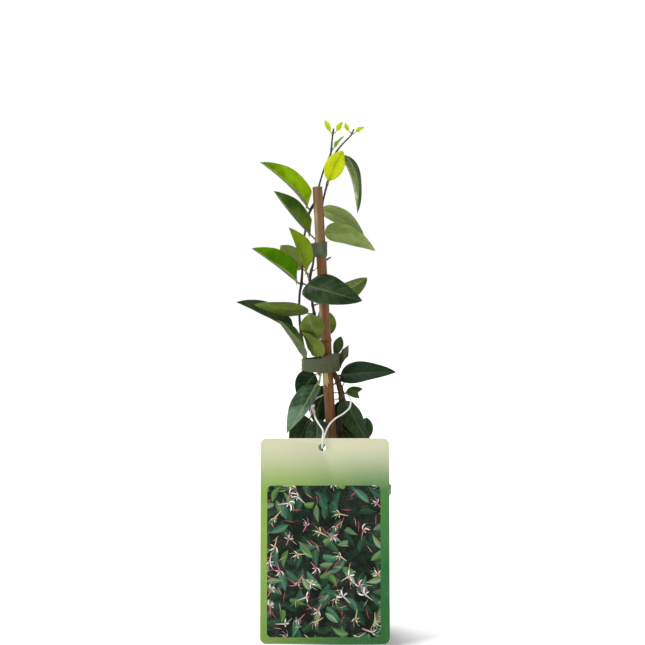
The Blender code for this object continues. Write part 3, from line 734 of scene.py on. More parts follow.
TONES: dict[Tone, LeafTone] = {
    Tone.SUNLIT: LeafTone(
        "leaf_bright",
        (0.16, 0.14, 0.03),
        LeafSide(
            (0.15, 0.30, 0.003), (0.54, 0.84, 0.004), (0.56, 0.74, 0.03), (0.66, 0.95, 0.004),
            clear=0.5, marked=0.22, gloss=0.1, tipward=-0.7,
        ),
        Underside(
            (0.12, 0.16, 0.055), (0.18, 0.22, 0.09), (0.26, 0.30, 0.14), (0.30, 0.42, 0.03), marked=0.45
        ),
    ),
    Tone.GOLDEN: LeafTone(
        "leaf_bright",
        (0.20, 0.16, 0.04),
        LeafSide(
            (0.15, 0.23, 0.007), (0.29, 0.41, 0.012), (0.40, 0.48, 0.06), (0.52, 0.68, 0.01),
            clear=0.45, marked=0.25,
        ),
        Underside(
            (0.15, 0.19, 0.06), (0.22, 0.26, 0.10), (0.30, 0.34, 0.15), (0.34, 0.44, 0.04),
            clear=0.3, marked=0.45,
        ),
    ),
    Tone.LEAFY: LeafTone(
        "leaf_bright",
        (0.13, 0.11, 0.03),
        LeafSide(
            (0.085, 0.25, 0.001), (0.230, 0.52, 0.002), (0.32, 0.54, 0.02), (0.40, 0.85, 0.004),
            clear=0.5, gloss=0.1,
        ),
        Underside(
            (0.09, 0.13, 0.05), (0.15, 0.19, 0.08), (0.22, 0.26, 0.12), (0.20, 0.34, 0.03), marked=0.45
        ),
    ),
    Tone.MOSS: LeafTone(
        "leaf_dark",
        (0.10, 0.08, 0.03),
        LeafSide(
            (0.040, 0.115, 0.018), (0.22, 0.345, 0.030), (0.30, 0.38, 0.09), (0.32, 0.55, 0.02),
            clear=0.42, tipward=-0.8,
        ),
        Underside(
            (0.085, 0.110, 0.052), (0.135, 0.165, 0.085), (0.20, 0.23, 0.12), (0.14, 0.21, 0.035),
            roughness=0.65, relief=-0.3, gloss=0.05,
        ),
    ),
    Tone.DEEP: LeafTone(
        "leaf_dark",
        (0.07, 0.032, 0.02),
        LeafSide(
            (0.008, 0.024, 0.008), (0.027, 0.066, 0.020), (0.11, 0.15, 0.05), (0.03, 0.10, 0.008),
            clear=0.12, roughness=0.44, relief=0.35, gloss=0.1,
        ),
        Underside((0.05, 0.08, 0.035), (0.09, 0.12, 0.06), (0.16, 0.18, 0.09), (0.07, 0.12, 0.02), clear=0.2),
    ),
    # A darker copy of the deep tone for leaves that lie in the shade of others: painted shade.
    Tone.NIGHT: LeafTone(
        "leaf_dark",
        (0.07, 0.032, 0.02),
        LeafSide(
            (0.005, 0.016, 0.008), (0.018, 0.042, 0.020), (0.07, 0.11, 0.04), (0.02, 0.07, 0.010),
            clear=0.08, roughness=0.55, relief=0.35, gloss=0.04,
        ),
        Underside((0.04, 0.06, 0.03), (0.07, 0.10, 0.05), (0.13, 0.15, 0.08), (0.06, 0.10, 0.02), clear=0.2),
    ),
    Tone.TEAL: LeafTone(
        "leaf_dark",
        (0.08, 0.05, 0.02),
        LeafSide(
            (0.010, 0.034, 0.015), (0.050, 0.085, 0.018), (0.12, 0.14, 0.05), (0.05, 0.12, 0.02),
            clear=0.15, roughness=0.38, relief=0.35,
        ),
        Underside(
            (0.07, 0.095, 0.03), (0.13, 0.15, 0.07), (0.18, 0.19, 0.08), (0.12, 0.16, 0.03),
            clear=0.2, roughness=0.55,
        ),
    ),
    Tone.OLIVE: LeafTone(
        "leaf_green",
        (0.14, 0.12, 0.03),
        LeafSide(
            (0.022, 0.046, 0.008), (0.05, 0.09, 0.014), (0.12, 0.15, 0.05), (0.09, 0.17, 0.01), roughness=0.4
        ),
        Underside(
            (0.115, 0.168, 0.023), (0.235, 0.312, 0.050), (0.34, 0.39, 0.12), (0.34, 0.50, 0.02),
            clear=0.4, roughness=0.55,
        ),
    ),
    Tone.BLUISH: LeafTone(
        "leaf_greyish",
        (0.26, 0.23, 0.05),
        LeafSide(
            (0.024, 0.056, 0.028), (0.165, 0.275, 0.170), (0.24, 0.32, 0.15), (0.09, 0.20, 0.06),
            clear=0.2, roughness=0.5, marked=0.35, relief=0.45, gloss=0.08, tipward=1.1,
        ),
        Underside((0.09, 0.12, 0.07), (0.14, 0.17, 0.11), (0.20, 0.22, 0.13), (0.10, 0.16, 0.05), clear=0.2),
    ),
    Tone.PALE: LeafTone(
        "leaf_greyish",
        (0.30, 0.31, 0.11),
        LeafSide(
            (0.04, 0.08, 0.02), (0.09, 0.14, 0.035), (0.18, 0.20, 0.10), (0.14, 0.22, 0.05), roughness=0.4
        ),
        Underside(
            (0.24, 0.33, 0.075), (0.42, 0.53, 0.17), (0.52, 0.60, 0.25), (0.54, 0.70, 0.12),
            clear=0.45, marked=0.5, relief=-0.6,
        ),
    ),
    # A lighter copy of the pale tone for a leaf that lies in shade: painted light.
    Tone.PALE_LIT: LeafTone(
        "leaf_greyish",
        (0.34, 0.35, 0.13),
        LeafSide(
            (0.05, 0.09, 0.02), (0.11, 0.17, 0.04), (0.20, 0.23, 0.11), (0.18, 0.27, 0.06), roughness=0.4
        ),
        Underside(
            (0.36, 0.47, 0.13), (0.58, 0.70, 0.27), (0.66, 0.74, 0.36), (0.62, 0.78, 0.18),
            clear=0.45, marked=0.5, relief=-0.6,
        ),
    ),
    Tone.SILVER: LeafTone(
        "leaf_greyish",
        (0.26, 0.26, 0.10),
        LeafSide((0.035, 0.07, 0.012), (0.08, 0.13, 0.03), (0.20, 0.22, 0.10), (0.14, 0.22, 0.04)),
        # Its underside has one half painted paler than the other: painted light and shade on the folded leaf.
        Underside(
            (0.15, 0.21, 0.06), (0.74, 0.82, 0.56), (0.62, 0.70, 0.44), (0.48, 0.62, 0.22),
            clear=0.35, marked=0.3, relief=-0.12, gloss=0.1, tipward=0.6, painted_half_shade=-1.5,
        ),
    ),
    Tone.YOUNG: LeafTone(
        "leaf_young",
        (0.30, 0.26, 0.03),
        LeafSide(
            (0.42, 0.53, 0.010), (0.72, 0.80, 0.012), (0.40, 0.44, 0.02), (0.90, 0.95, 0.01),
            clear=0.5, marked=0.26, relief=0.3, hem=(0.62, 0.62, 0.24), hemmed=0.35, gloss=0.1,
        ),
        Underside(
            (0.46, 0.52, 0.10), (0.58, 0.62, 0.18), (0.66, 0.70, 0.24), (0.70, 0.80, 0.06),
            clear=0.4, marked=0.5, relief=-0.5,
        ),
    ),
}


@dataclass(frozen=True)
class Stem:
    """A stem that only climbs, through (x, y, z, radius) points in millimetres."""

    name: str
    route: tuple[Ring, ...]
    rings: int

    def at(self, height: float) -> tuple[Vector, float, Vector]:
        """Give the stem's centre, radius and direction at a height."""
        rings = smooth_route(self.route, self.rings)
        for a, b in zip(rings, rings[1:]):
            if a[2] <= height <= b[2]:
                share = (height - a[2]) / (b[2] - a[2])
                here = [p + (q - p) * share for p, q in zip(a, b)]
                return Vector(here[:3]), here[3], (Vector(b[:3]) - Vector(a[:3])).normalized()
        raise ValueError(f"{self.name} does not reach {height}")


LEFT_SHOOT = Stem(
    "shoot_left",
    (
        (-2.0, 7.0, 62.0, 1.9),
        (-3.0, 7.0, 95.0, 1.8),
        (-6.0, 7.0, 128.0, 1.7),
        (-9.5, 6.5, 147.0, 1.6),
        (-12.0, 5.0, 163.0, 1.5),
        (-15.0, 3.5, 177.0, 1.4),
        (-16.8, 2.0, 190.0, 1.2),
        (-19.0, 2.0, 203.0, 1.2),
        (-21.4, 2.5, 216.0, 1.3),
        (-22.6, 4.0, 228.0, 1.1),
        (-22.8, 4.5, 239.0, 1.1),
        (-22.3, 4.5, 247.0, 1.15),
        (-21.2, 4.5, 253.0, 1.3),
        (-20.3, 5.0, 267.0, 1.0),
        (-19.4, 6.0, 285.0, 1.0),
        (-18.0, 6.5, 294.0, 1.0),
        (-15.6, 7.5, 305.0, 1.1),
        (-12.3, 7.5, 312.0, 1.0),
        (-9.7, 7.5, 319.0, 0.9),
        (-8.0, 6.0, 326.0, 0.9),
        (-6.3, 5.0, 332.0, 0.85),
        (-4.0, 4.0, 339.0, 0.85),
        (-1.2, 3.5, 345.0, 0.85),
        (0.7, 3.0, 350.0, 0.85),
        (1.3, 3.0, 357.0, 0.8),
        (1.8, 3.0, 362.0, 0.75),
        (2.6, 3.0, 367.0, 0.7),
    ),
    66,
)
RIGHT_SHOOT = Stem(
    "shoot_right",
    (
        (11.0, 6.5, 60.0, 2.4),
        (9.5, 6.5, 95.0, 2.3),
        (7.5, 6.0, 126.0, 2.2),
        (7.3, 5.0, 152.0, 2.2),
        (8.6, 3.8, 169.0, 2.4),
        (6.6, 4.2, 178.0, 2.3),
        (3.6, 6.2, 186.0, 2.0),
        (-0.6, 7.6, 194.0, 1.6),
        (-7.2, 7.8, 206.0, 1.4),
        (-10.2, 6.0, 222.0, 1.1),
        (-11.6, 4.6, 230.0, 1.3),
        (-13.2, 3.6, 239.0, 1.05),
        (-14.6, 4.8, 247.0, 1.05),
        (-15.0, 5.2, 257.0, 1.2),
        (-12.4, 5.2, 269.0, 1.0),
        (-11.5, 5.4, 279.0, 1.0),
        (-9.8, 7.2, 287.0, 1.1),
        (-6.8, 7.2, 300.0, 0.95),
        (-5.2, 5.6, 314.0, 0.9),
        (-2.0, 3.0, 327.0, 1.0),
        (0.8, 3.0, 338.0, 0.85),
        (3.4, 3.0, 348.0, 0.95),
        (7.4, 3.0, 354.0, 0.8),
        (11.6, 3.0, 358.5, 0.75),
        (15.5, 2.6, 362.5, 0.7),
        (17.4, 2.4, 366.5, 0.65),
    ),
    66,
)
SIDE_SHOOT = Stem(
    "shoot_side",
    (
        (-11.6, 2.2, 167.0, 0.9),
        (-10.0, -1.8, 172.0, 0.9),
        (-8.6, -4.6, 178.0, 0.9),
        (-7.4, -6.0, 184.0, 0.9),
        (-6.4, -6.2, 190.0, 0.85),
    ),
    9,
)


@dataclass(frozen=True)
class Leaf:
    """One leaf with its stalk, drawn as in the part's source.

    Attributes:
        name: Its CAD node.
        stem: The stem that it grows from.
        height: Where on the stem.
        middle: Where its midrib is half-way.
        tip: Where its midrib ends.
        width: Its widest.
        turn: How far the upper side leans away from the front, in degrees.
        fold: How far each half is lifted towards the upper side, in degrees.
        stalk: Its stalk's length.
        belly: Where the blade is widest, as a share of its length.
        tone: How it looks.
        wave: How much its margin waves.
        torn: How far its end is torn off.
    """

    name: str
    stem: Stem
    height: float
    middle: Point
    tip: Point
    width: float
    turn: float
    fold: float
    stalk: float
    belly: float
    tone: Tone
    wave: float = 0.5
    torn: float = 0.0


L, R, S = LEFT_SHOOT, RIGHT_SHOOT, SIDE_SHOOT
LEAVES = (
    Leaf("leaf_upper_left_high", L, 308, (-30, -1, 325), (-51, -8, 341), 30, 60, 38, 2, 0.35, Tone.SUNLIT),
    Leaf("leaf_upper_left_low", R, 286, (-27.5, -4, 303), (-41, -8, 320), 27, 60, 38, 4, 0.38, Tone.MOSS),
    Leaf("leaf_upper_right_high", L, 310, (6, 14, 304), (25, 12, 290), 19, -128, 10, 5, 0.42, Tone.PALE_LIT),
    Leaf("leaf_upper_right_low", R, 290, (12, 7, 289.5), (33, 0, 277), 22, -130, 10, 4, 0.36, Tone.PALE),
    Leaf("leaf_top_drooping", R, 348, (15, 2, 334), (20, 0, 305), 25, -79, 38, 3, 0.37, Tone.SILVER),
    Leaf("leaf_top_bright", R, 327, (3.2, -4, 339), (9.5, -6, 349.5), 15, 8, 18, 2, 0.45, Tone.YOUNG),
    Leaf(
        "leaf_middle_left_upright", R, 257, (-22.5, -13, 275), (-30, -15, 293), 25, 55, 38, 5, 0.4,
        Tone.GOLDEN,
    ),
    Leaf("leaf_middle_left", L, 253, (-39, -5, 266), (-57, -10, 278), 30, 62, 38, 2, 0.33, Tone.LEAFY),
    Leaf("leaf_middle_left_rear", R, 260, (-28, 12, 272), (-37, 17, 282), 16, 165, 12, 5, 0.45, Tone.OLIVE),
    Leaf("leaf_middle_front", L, 253, (0, -15, 246.2), (23, -16, 240), 26, -24, 18, 3, 0.34, Tone.DEEP),
    Leaf("leaf_middle_right_rear", R, 237, (11, 19, 247), (28, 22, 258), 18, 140, 10, 12, 0.45, Tone.OLIVE),
    Leaf("leaf_middle_bud", R, 263, (-7, 8, 267), (1, 8, 273), 5, -60, 20, 4, 0.5, Tone.OLIVE),
    Leaf("leaf_long_left", L, 216, (-44, -6, 228), (-68, -12, 239), 23, 57, 38, 4, 0.44, Tone.TEAL),
    Leaf("leaf_long_left_front", R, 231, (-34, -13, 234), (-55, -17, 237), 18, 125, 10, 4, 0.38, Tone.OLIVE),
    Leaf("leaf_tie_left", L, 198, (-27.5, -12, 212), (-38, -16, 226), 22, 81, 40, 2, 0.38, Tone.MOSS),
    Leaf(
        "leaf_tie_front_high", R, 206, (-11.5, -16, 217.5), (-16, -25, 230), 19, 175, 14, 8, 0.56, Tone.OLIVE
    ),
    Leaf(
        "leaf_tie_front_low", S, 186, (-10.5, -11, 203), (-20.5, -21, 217.5), 17, 139, 25, 14, 0.3, Tone.OLIVE
    ),
    Leaf("leaf_behind_cane", R, 208, (-3, 8.5, 222), (-8, 8.5, 233), 16, 175, 10, 5, 0.45, Tone.OLIVE),
    Leaf("leaf_tie_right_small", R, 192, (5, 5, 204), (8, 4, 214), 8, 20, 10, 4, 0.6, Tone.OLIVE),
    Leaf("leaf_tie_right", R, 184, (26, -2, 187.5), (48, -6, 188), 21, -42, 15, 1, 0.31, Tone.NIGHT),
    Leaf("leaf_lower_left_front", S, 181, (-18, -15, 165), (-31, -21, 145), 25, 48, 28, 3, 0.38, Tone.BLUISH),
    Leaf("leaf_lower_left_rear", S, 187, (-15.8, 0.3, 181), (-22, -0.5, 167), 19, 0, 8, 4, 0.44, Tone.NIGHT),
    Leaf("leaf_lower_behind_cane", R, 180, (-7, 11.5, 167), (-11, 12, 149), 17, 0, 12, 5, 0.4, Tone.DEEP),
    Leaf("leaf_lower_narrow", R, 168, (-2.5, 5.8, 162), (-7.4, 2.6, 150), 8, -15, 12, 10, 0.45, Tone.DEEP),
    Leaf("leaf_bottom_left", L, 157, (-20, -2, 144), (-28, -8, 123), 24, -22, 10, 6.5, 0.33, Tone.DEEP),
    Leaf("leaf_bottom_front", L, 157, (-9.5, -11, 143), (-14, -19, 124), 18, 12, 15, 6, 0.42, Tone.BLUISH),
    Leaf(
        "leaf_lower_torn", R, 172, (15.5, 0, 173.5), (23, -2, 172), 9, -20, 10, 1, 0.55, Tone.OLIVE, 0.2, 1.0
    ),
    Leaf(
        "leaf_lower_right_long", R, 168, (17.6, -5, 155), (29.5, -13, 133), 21, -40, -10, 3.5, 0.36, Tone.DEEP
    ),
    Leaf("leaf_lower_right_rear", R, 169, (10.5, 12, 150), (11, 13, 126), 19, 0, 10, 3, 0.38, Tone.NIGHT),
    Leaf("leaf_bottom_right_upright", R, 129, (22, 8, 140), (27, 6, 154), 15, 15, 10, 6, 0.6, Tone.DEEP),
    Leaf("leaf_bottom_right", R, 146, (15, 1, 139), (24, -1, 126), 15, -20, 10, 3, 0.4, Tone.DEEP),
    Leaf("leaf_tip_left_low", L, 352, (5, -1, 355.5), (10, -2, 361), 6, -60, 20, 2, 0.45, Tone.LEAFY),
    Leaf("leaf_tip_left_a", L, 364, (-1.5, 1, 368), (-4, 0, 373), 5, 30, 20, 2, 0.45, Tone.YOUNG),
    Leaf("leaf_tip_left_b", L, 364.5, (6.5, 2, 368), (9, 1, 372), 5, -30, 20, 2, 0.45, Tone.YOUNG),
    Leaf("leaf_tip_right_a", R, 364, (12.5, 1, 367), (11, 0, 371), 4, 30, 20, 2, 0.45, Tone.YOUNG),
    Leaf("leaf_tip_right_b", R, 364, (21, 1, 366), (25, 0, 368), 4, -30, 20, 2, 0.45, Tone.YOUNG),
    Leaf("leaf_back_low", R, 118, (16, 18, 124), (22, 30, 122), 20, -80, 15, 6, 0.42, Tone.DEEP),
    Leaf("leaf_back_low_left", L, 122, (-14, 17, 130), (-24, 27, 130), 20, 80, 15, 8, 0.42, Tone.DEEP),
    Leaf("leaf_back_middle", R, 176, (15, 20, 184), (22, 33, 182), 20, -80, 15, 6, 0.42, Tone.DEEP),
    Leaf("leaf_back_upper", L, 232, (-31, 18, 234), (-39, 29, 232), 15, 80, 15, 5, 0.42, Tone.OLIVE),
)
VIEW = Vector((0.0, -1.0, 0.0))


@dataclass
class Blade:
    """Builds one leaf: a thin grooved and quilted blade, on a round stalk that becomes its midrib."""

    leaf: Leaf
    faces: tuple[int, int] = (16, 34)
    small_faces: tuple[int, int] = (10, 20)
    small_width: float = 10.0
    thickness: float = 0.34
    seat: float = 0.8
    pointedness: float = 0.85
    crowding: float = 0.75
    opening: float = 8.0
    cup: float = 0.14
    wave_along: float = 9.5
    wave_across: float = 1.9
    groove: float = 0.30
    groove_width: float = 0.9
    quilt: float = 0.10
    narrowest: float = 0.28
    stalk_radius: float = 0.5
    rib_end: float = 0.93
    rib_rings: int = 26

    def __post_init__(self) -> None:
        """Work out the midrib's three steering points and the way the upper side faces."""
        leaf = self.leaf
        centre, radius, along = leaf.stem.at(leaf.height)
        middle, self.tip = Vector(leaf.middle), Vector(leaf.tip)
        away = middle - centre
        away = (away - along * away.dot(along)).normalized()
        self.start = centre + away * (radius + self.seat)
        self.root = centre + away * (0.8 * radius - 0.3)
        self.steer = 2 * middle - (self.start + self.tip) / 2
        tangent = (self.tip - self.start).normalized()
        front = (VIEW - tangent * VIEW.dot(tangent)).normalized()
        turn = math.radians(leaf.turn)
        self.facing = math.cos(turn) * front + math.sin(turn) * tangent.cross(front)
        self.stalk_share = min(leaf.stalk / (self.tip - self.start).length, 0.5)

    def midrib(self, t: float) -> tuple[Vector, Vector, Vector]:
        """Give the midrib's point, its direction and the way up, at a share from stem to tip."""
        spot = self.start * (1 - t) ** 2 + self.steer * 2 * t * (1 - t) + self.tip * t * t
        tangent = ((self.steer - self.start) * (1 - t) + (self.tip - self.steer) * t).normalized()
        up = (self.facing - tangent * self.facing.dot(tangent)).normalized()
        return spot, tangent, up

    def outline(self, share: float) -> float:
        """Give the blade's half-width at a share of its length, as a share of its widest."""
        belly = self.leaf.belly
        rise = self.pointedness * belly / (1 - belly)
        widest = belly**rise * (1 - belly) ** self.pointedness
        return max(share, 0.0) ** rise * max(1 - share, 0.0) ** self.pointedness / widest

    def blade_share(self, b: float) -> float:
        """Crowd the rows towards both ends of the blade."""
        return (1 - self.crowding) * b + self.crowding * (1 - math.cos(math.pi * b)) / 2

    def surface(self, a: float, b: float) -> Vector:
        """Give a point of the blade from the shares across and along."""
        leaf = self.leaf
        s, u = 2 * a - 1, self.blade_share(b)
        spot, tangent, up = self.midrib(self.stalk_share + (1 - self.stalk_share) * u)
        half, fold = leaf.width / 2, math.radians(leaf.fold)
        outline = self.outline(u * (1 - 0.25 * leaf.torn))
        across = s * max(half * outline, self.narrowest)
        opened = min(1.0, u * self.opening)
        lift = abs(across) * math.sin(fold) * opened
        lift -= self.cup * opened * across * across / half
        waving = math.sin(self.wave_along * u + self.wave_across * s)
        lift += leaf.wave * opened * s * s * waving * outline
        lift += self.relief(s, u, outline) * opened
        notch = -0.3 * leaf.torn * leaf.width * (1 - abs(s)) * u**6
        spread = across * (1 - opened * (1 - math.cos(fold)))
        return spot + tangent.cross(up) * spread + up * lift + tangent * notch

    def relief(self, s: float, u: float, outline: float) -> float:
        """Give the groove along the midrib and the quilting between the side veins."""
        away = abs(s)
        phase = VEIN_PAIRS * (u - away * (VEIN_SLANT + VEIN_CURL * away)) + (VEIN_SHIFT if s > 0 else 0.0)
        size = min(1.0, self.leaf.width / 20)
        quilt = self.quilt * math.sin(math.pi * away) * (0.5 - 0.5 * math.cos(2 * math.pi * phase)) * outline
        off_rib = away * self.leaf.width / 2 / self.groove_width
        return size * (quilt - self.groove * math.exp(-(off_rib**2)) * outline)

    def build(self, skins: dict[Tone, tuple[Material, ...]]) -> Piece:
        """Build the leaf and dress it.

        Args:
            skins: Each tone's materials for the upper side, the underside and the stalk.

        Returns:
            The leaf, blade and stalk in one.
        """
        leaf = self.leaf
        upper, under, stalk = skins[leaf.tone]
        faces = self.small_faces if leaf.width < self.small_width else self.faces
        piece = flat_grid(f"{leaf.name}_skin", *faces)
        shape_sheet(piece, self.surface, lambda a, b: (a, self.blade_share(b)))
        for made in (upper, under):
            piece.data.materials.append(made)
        thick = self.thickness * MM
        apply_modifier(
            piece, "SOLIDIFY", thickness=thick, offset=0.0, material_offset=1, material_offset_rim=0
        )
        apply_modifier(piece, "SUBSURF", levels=1, render_levels=1)
        smooth_shade(piece)
        rib = self.build_stalk()
        rib.data.materials.append(stalk)
        return hand_over(join_pieces((piece, rib)), TONES[leaf.tone].slot, leaf.name)

    def build_stalk(self) -> Piece:
        """Sweep the stalk from inside the stem's skin along the underside of the blade."""
        rings: list[Ring] = [(*self.root, self.stalk_radius * 1.5)]
        size = min(1.0, 0.45 + self.leaf.width / 40)
        for i in range(self.rib_rings + 1):
            t = self.rib_end * i / self.rib_rings
            spot, _, up = self.midrib(t)
            u = max((t - self.stalk_share) / (1 - self.stalk_share), 0.0)
            opened = min(1.0, u * self.opening)
            radius = self.stalk_radius * size * (1.0 - 0.75 * u**0.8)
            radius *= 1.0 + 0.4 * math.exp(-((i / 1.5) ** 2))
            sink = self.groove * size * opened * self.outline(u) + 0.45 * radius * opened
            rings.append((*(spot - up * sink), radius))
        return rod(f"{self.leaf.name}_rib", rings, 8)


def build_foliage() -> None:
    """Build every leaf with its tone's materials."""
    skins = {tone: TONES[tone].dress(tone.value) for tone in Tone}
    for leaf in LEAVES:
        Blade(leaf).build(skins)


# Stems and cane


@dataclass(frozen=True)
class BarkSkin:
    """The bark of a stem, which goes from woody to young as it climbs."""

    woody: Colour
    woody_dark: Colour
    young: Colour
    young_light: Colour
    woody_top: float
    blend: float

    def dress(self, name: str) -> Material:
        """Make the material."""
        paint = Paint(name)
        place = paint.place()
        grain = paint.use(GRAIN, Place=place, Fineness=1.0)
        height = paint.split(place)[2]
        share = paint.ease(height, (self.woody_top - self.blend) * MM, (self.woody_top + self.blend) * MM)
        old = paint.blend(paint.ease(grain["Fibre"], 0.35, 0.65), self.woody_dark, self.woody)
        fresh = paint.blend(paint.ease(grain["Streak"], 0.4, 0.7), self.young, self.young_light)
        colour = paint.blend(share, old, fresh)
        colour = paint.blend(paint.times(grain["Speck"], 0.25), colour, self.woody)
        rough = paint.ease(share, 0.0, 1.0, 0.78, 0.42)
        relief = paint.times(grain["Fibre"], paint.ease(share, 0.0, 1.0, 1.0, 0.25))
        paint.set(Base_Color=colour, Roughness=rough, Normal=paint.bump(relief, 0.7, 0.25))
        return paint.material


@dataclass
class Shoot:
    """One stem with its swollen leaf joints."""

    stem: Stem
    skin: BarkSkin
    slot: str
    rings: int
    sides: int = 14
    swelling: float = 0.35
    slimming: float = 0.80

    def build(self) -> Piece:
        """Build the stem, swollen and ringed where its leaves grow."""
        joints = [leaf.height for leaf in LEAVES if leaf.stem is self.stem]
        read = smooth_route(self.stem.route, self.rings)
        rings: list[Ring] = []
        for x, y, z, radius in read:
            swell = max((math.exp(-(((z - j) / 1.5) ** 2)) for j in joints), default=0.0)
            knot = 1 + self.swelling * swell + 0.03 * math.sin(z * 1.7) + 0.02 * math.sin(z * 4.3)
            rings.append((x, y, z, radius * knot * self.slimming))
        end = rings[-1]
        rings.append((end[0], end[1], end[2] + 0.5, end[3] * 0.6))
        piece = rod(f"{self.stem.name}_bark", rings, self.sides)
        smooth_shade(piece)
        name = self.stem.name
        return hand_over(piece, self.slot, name, self.skin.dress(f"{name} bark"))


YOUNG_BARK = BarkSkin(
    (0.10, 0.058, 0.030), (0.03, 0.017, 0.010), (0.022, 0.007, 0.008), (0.060, 0.022, 0.020), 174.0, 6.0
)
WOODY_BARK = BarkSkin(
    (0.10, 0.048, 0.024), (0.03, 0.016, 0.009), (0.024, 0.008, 0.009), (0.065, 0.024, 0.021), 200.0, 8.0
)
STRAW_BARK = BarkSkin(
    (0.36, 0.30, 0.08), (0.20, 0.15, 0.04), (0.34, 0.33, 0.09), (0.46, 0.44, 0.14), 170.0, 4.0
)


@dataclass(frozen=True)
class BambooSkin:
    """The skin of the cane: golden low down, reddish brown in the middle and a paler, weathered brown above,
    with a painted grey-beige highlight up its left flank and painted shade down its right.
    """

    low: Colour = (0.215, 0.074, 0.011)
    middle: Colour = (0.200, 0.070, 0.015)
    high: Colour = (0.215, 0.120, 0.050)
    dark: Colour = (0.060, 0.024, 0.009)
    bleached: Colour = (0.32, 0.21, 0.10)
    painted_highlight: Colour = (0.52, 0.40, 0.24)

    def dress(self, name: str) -> Material:
        """Make the material."""
        paint = Paint(name)
        place = paint.place()
        grain = paint.use(GRAIN, Place=place, Fineness=0.7)
        across, _, height = paint.split(place)
        foot, head = Vector(Cane.foot), Vector(Cane.head)
        lean = (head.x - foot.x) / (head.z - foot.z)
        axis = paint.times_plus(height, lean, (foot.x - lean * foot.z) * MM)
        side = paint.maths("DIVIDE", paint.minus(across, axis), Cane.head_radius * MM)
        colour = paint.blend(paint.ease(height, 200 * MM, 228 * MM), self.low, self.middle)
        colour = paint.blend(paint.ease(height, 270 * MM, 288 * MM), colour, self.high)
        # Painted highlight: the left flank, which faces the light, is painted paler, more so higher up, but
        # for its top and a short stretch in between, which is left darker as a painted leaf shadow.
        lit = paint.times(paint.ease(side, -0.1, -0.75), paint.ease(height, 200 * MM, 240 * MM, 0.25, 0.85))
        lit = paint.times(lit, paint.ease(height, 314 * MM, 308 * MM))
        off = paint.absolute(paint.minus(height, 264 * MM))
        lit = paint.times(lit, paint.ease(off, 9 * MM, 18 * MM, 0.12, 1.0))
        colour = paint.blend(lit, colour, self.painted_highlight)
        # Painted shade: the right flank, turned away from the light, is painted darker.
        colour = paint.blend(paint.ease(side, 0.15, 0.95, 0.0, 0.45), colour, self.dark)
        streak = paint.ease(grain["Streak"], 0.40, 0.75)
        colour = paint.blend(paint.times(streak, 0.4), colour, self.dark)
        pale = paint.ease(paint.cloud(paint.scaled(place, 300.0, 300.0, 22.0), 1.0, 3.0), 0.5, 0.75)
        pale = paint.times(pale, paint.ease(height, 190 * MM, 225 * MM, 0.12, 0.45))
        colour = paint.blend(pale, colour, self.bleached)
        thin = paint.ease(grain["Fibre"], 0.5, 0.8)
        colour = paint.blend(paint.times(thin, 0.25), colour, self.dark)
        # A dark ring runs round the cane in the groove of its upper node.
        ring = paint.absolute(paint.minus(height, 210.4 * MM))
        colour = paint.blend(paint.ease(ring, 0.5 * MM, 1.6 * MM, 0.7, 0.0), colour, self.dark)
        rough = paint.times_plus(grain["Fibre"], 0.3, 0.32)
        paint.set(Base_Color=colour, Roughness=rough, Normal=paint.bump(grain["Fibre"], 0.45, 0.2))
        paint.set(Specular_IOR_Level=0.3)
        return paint.material


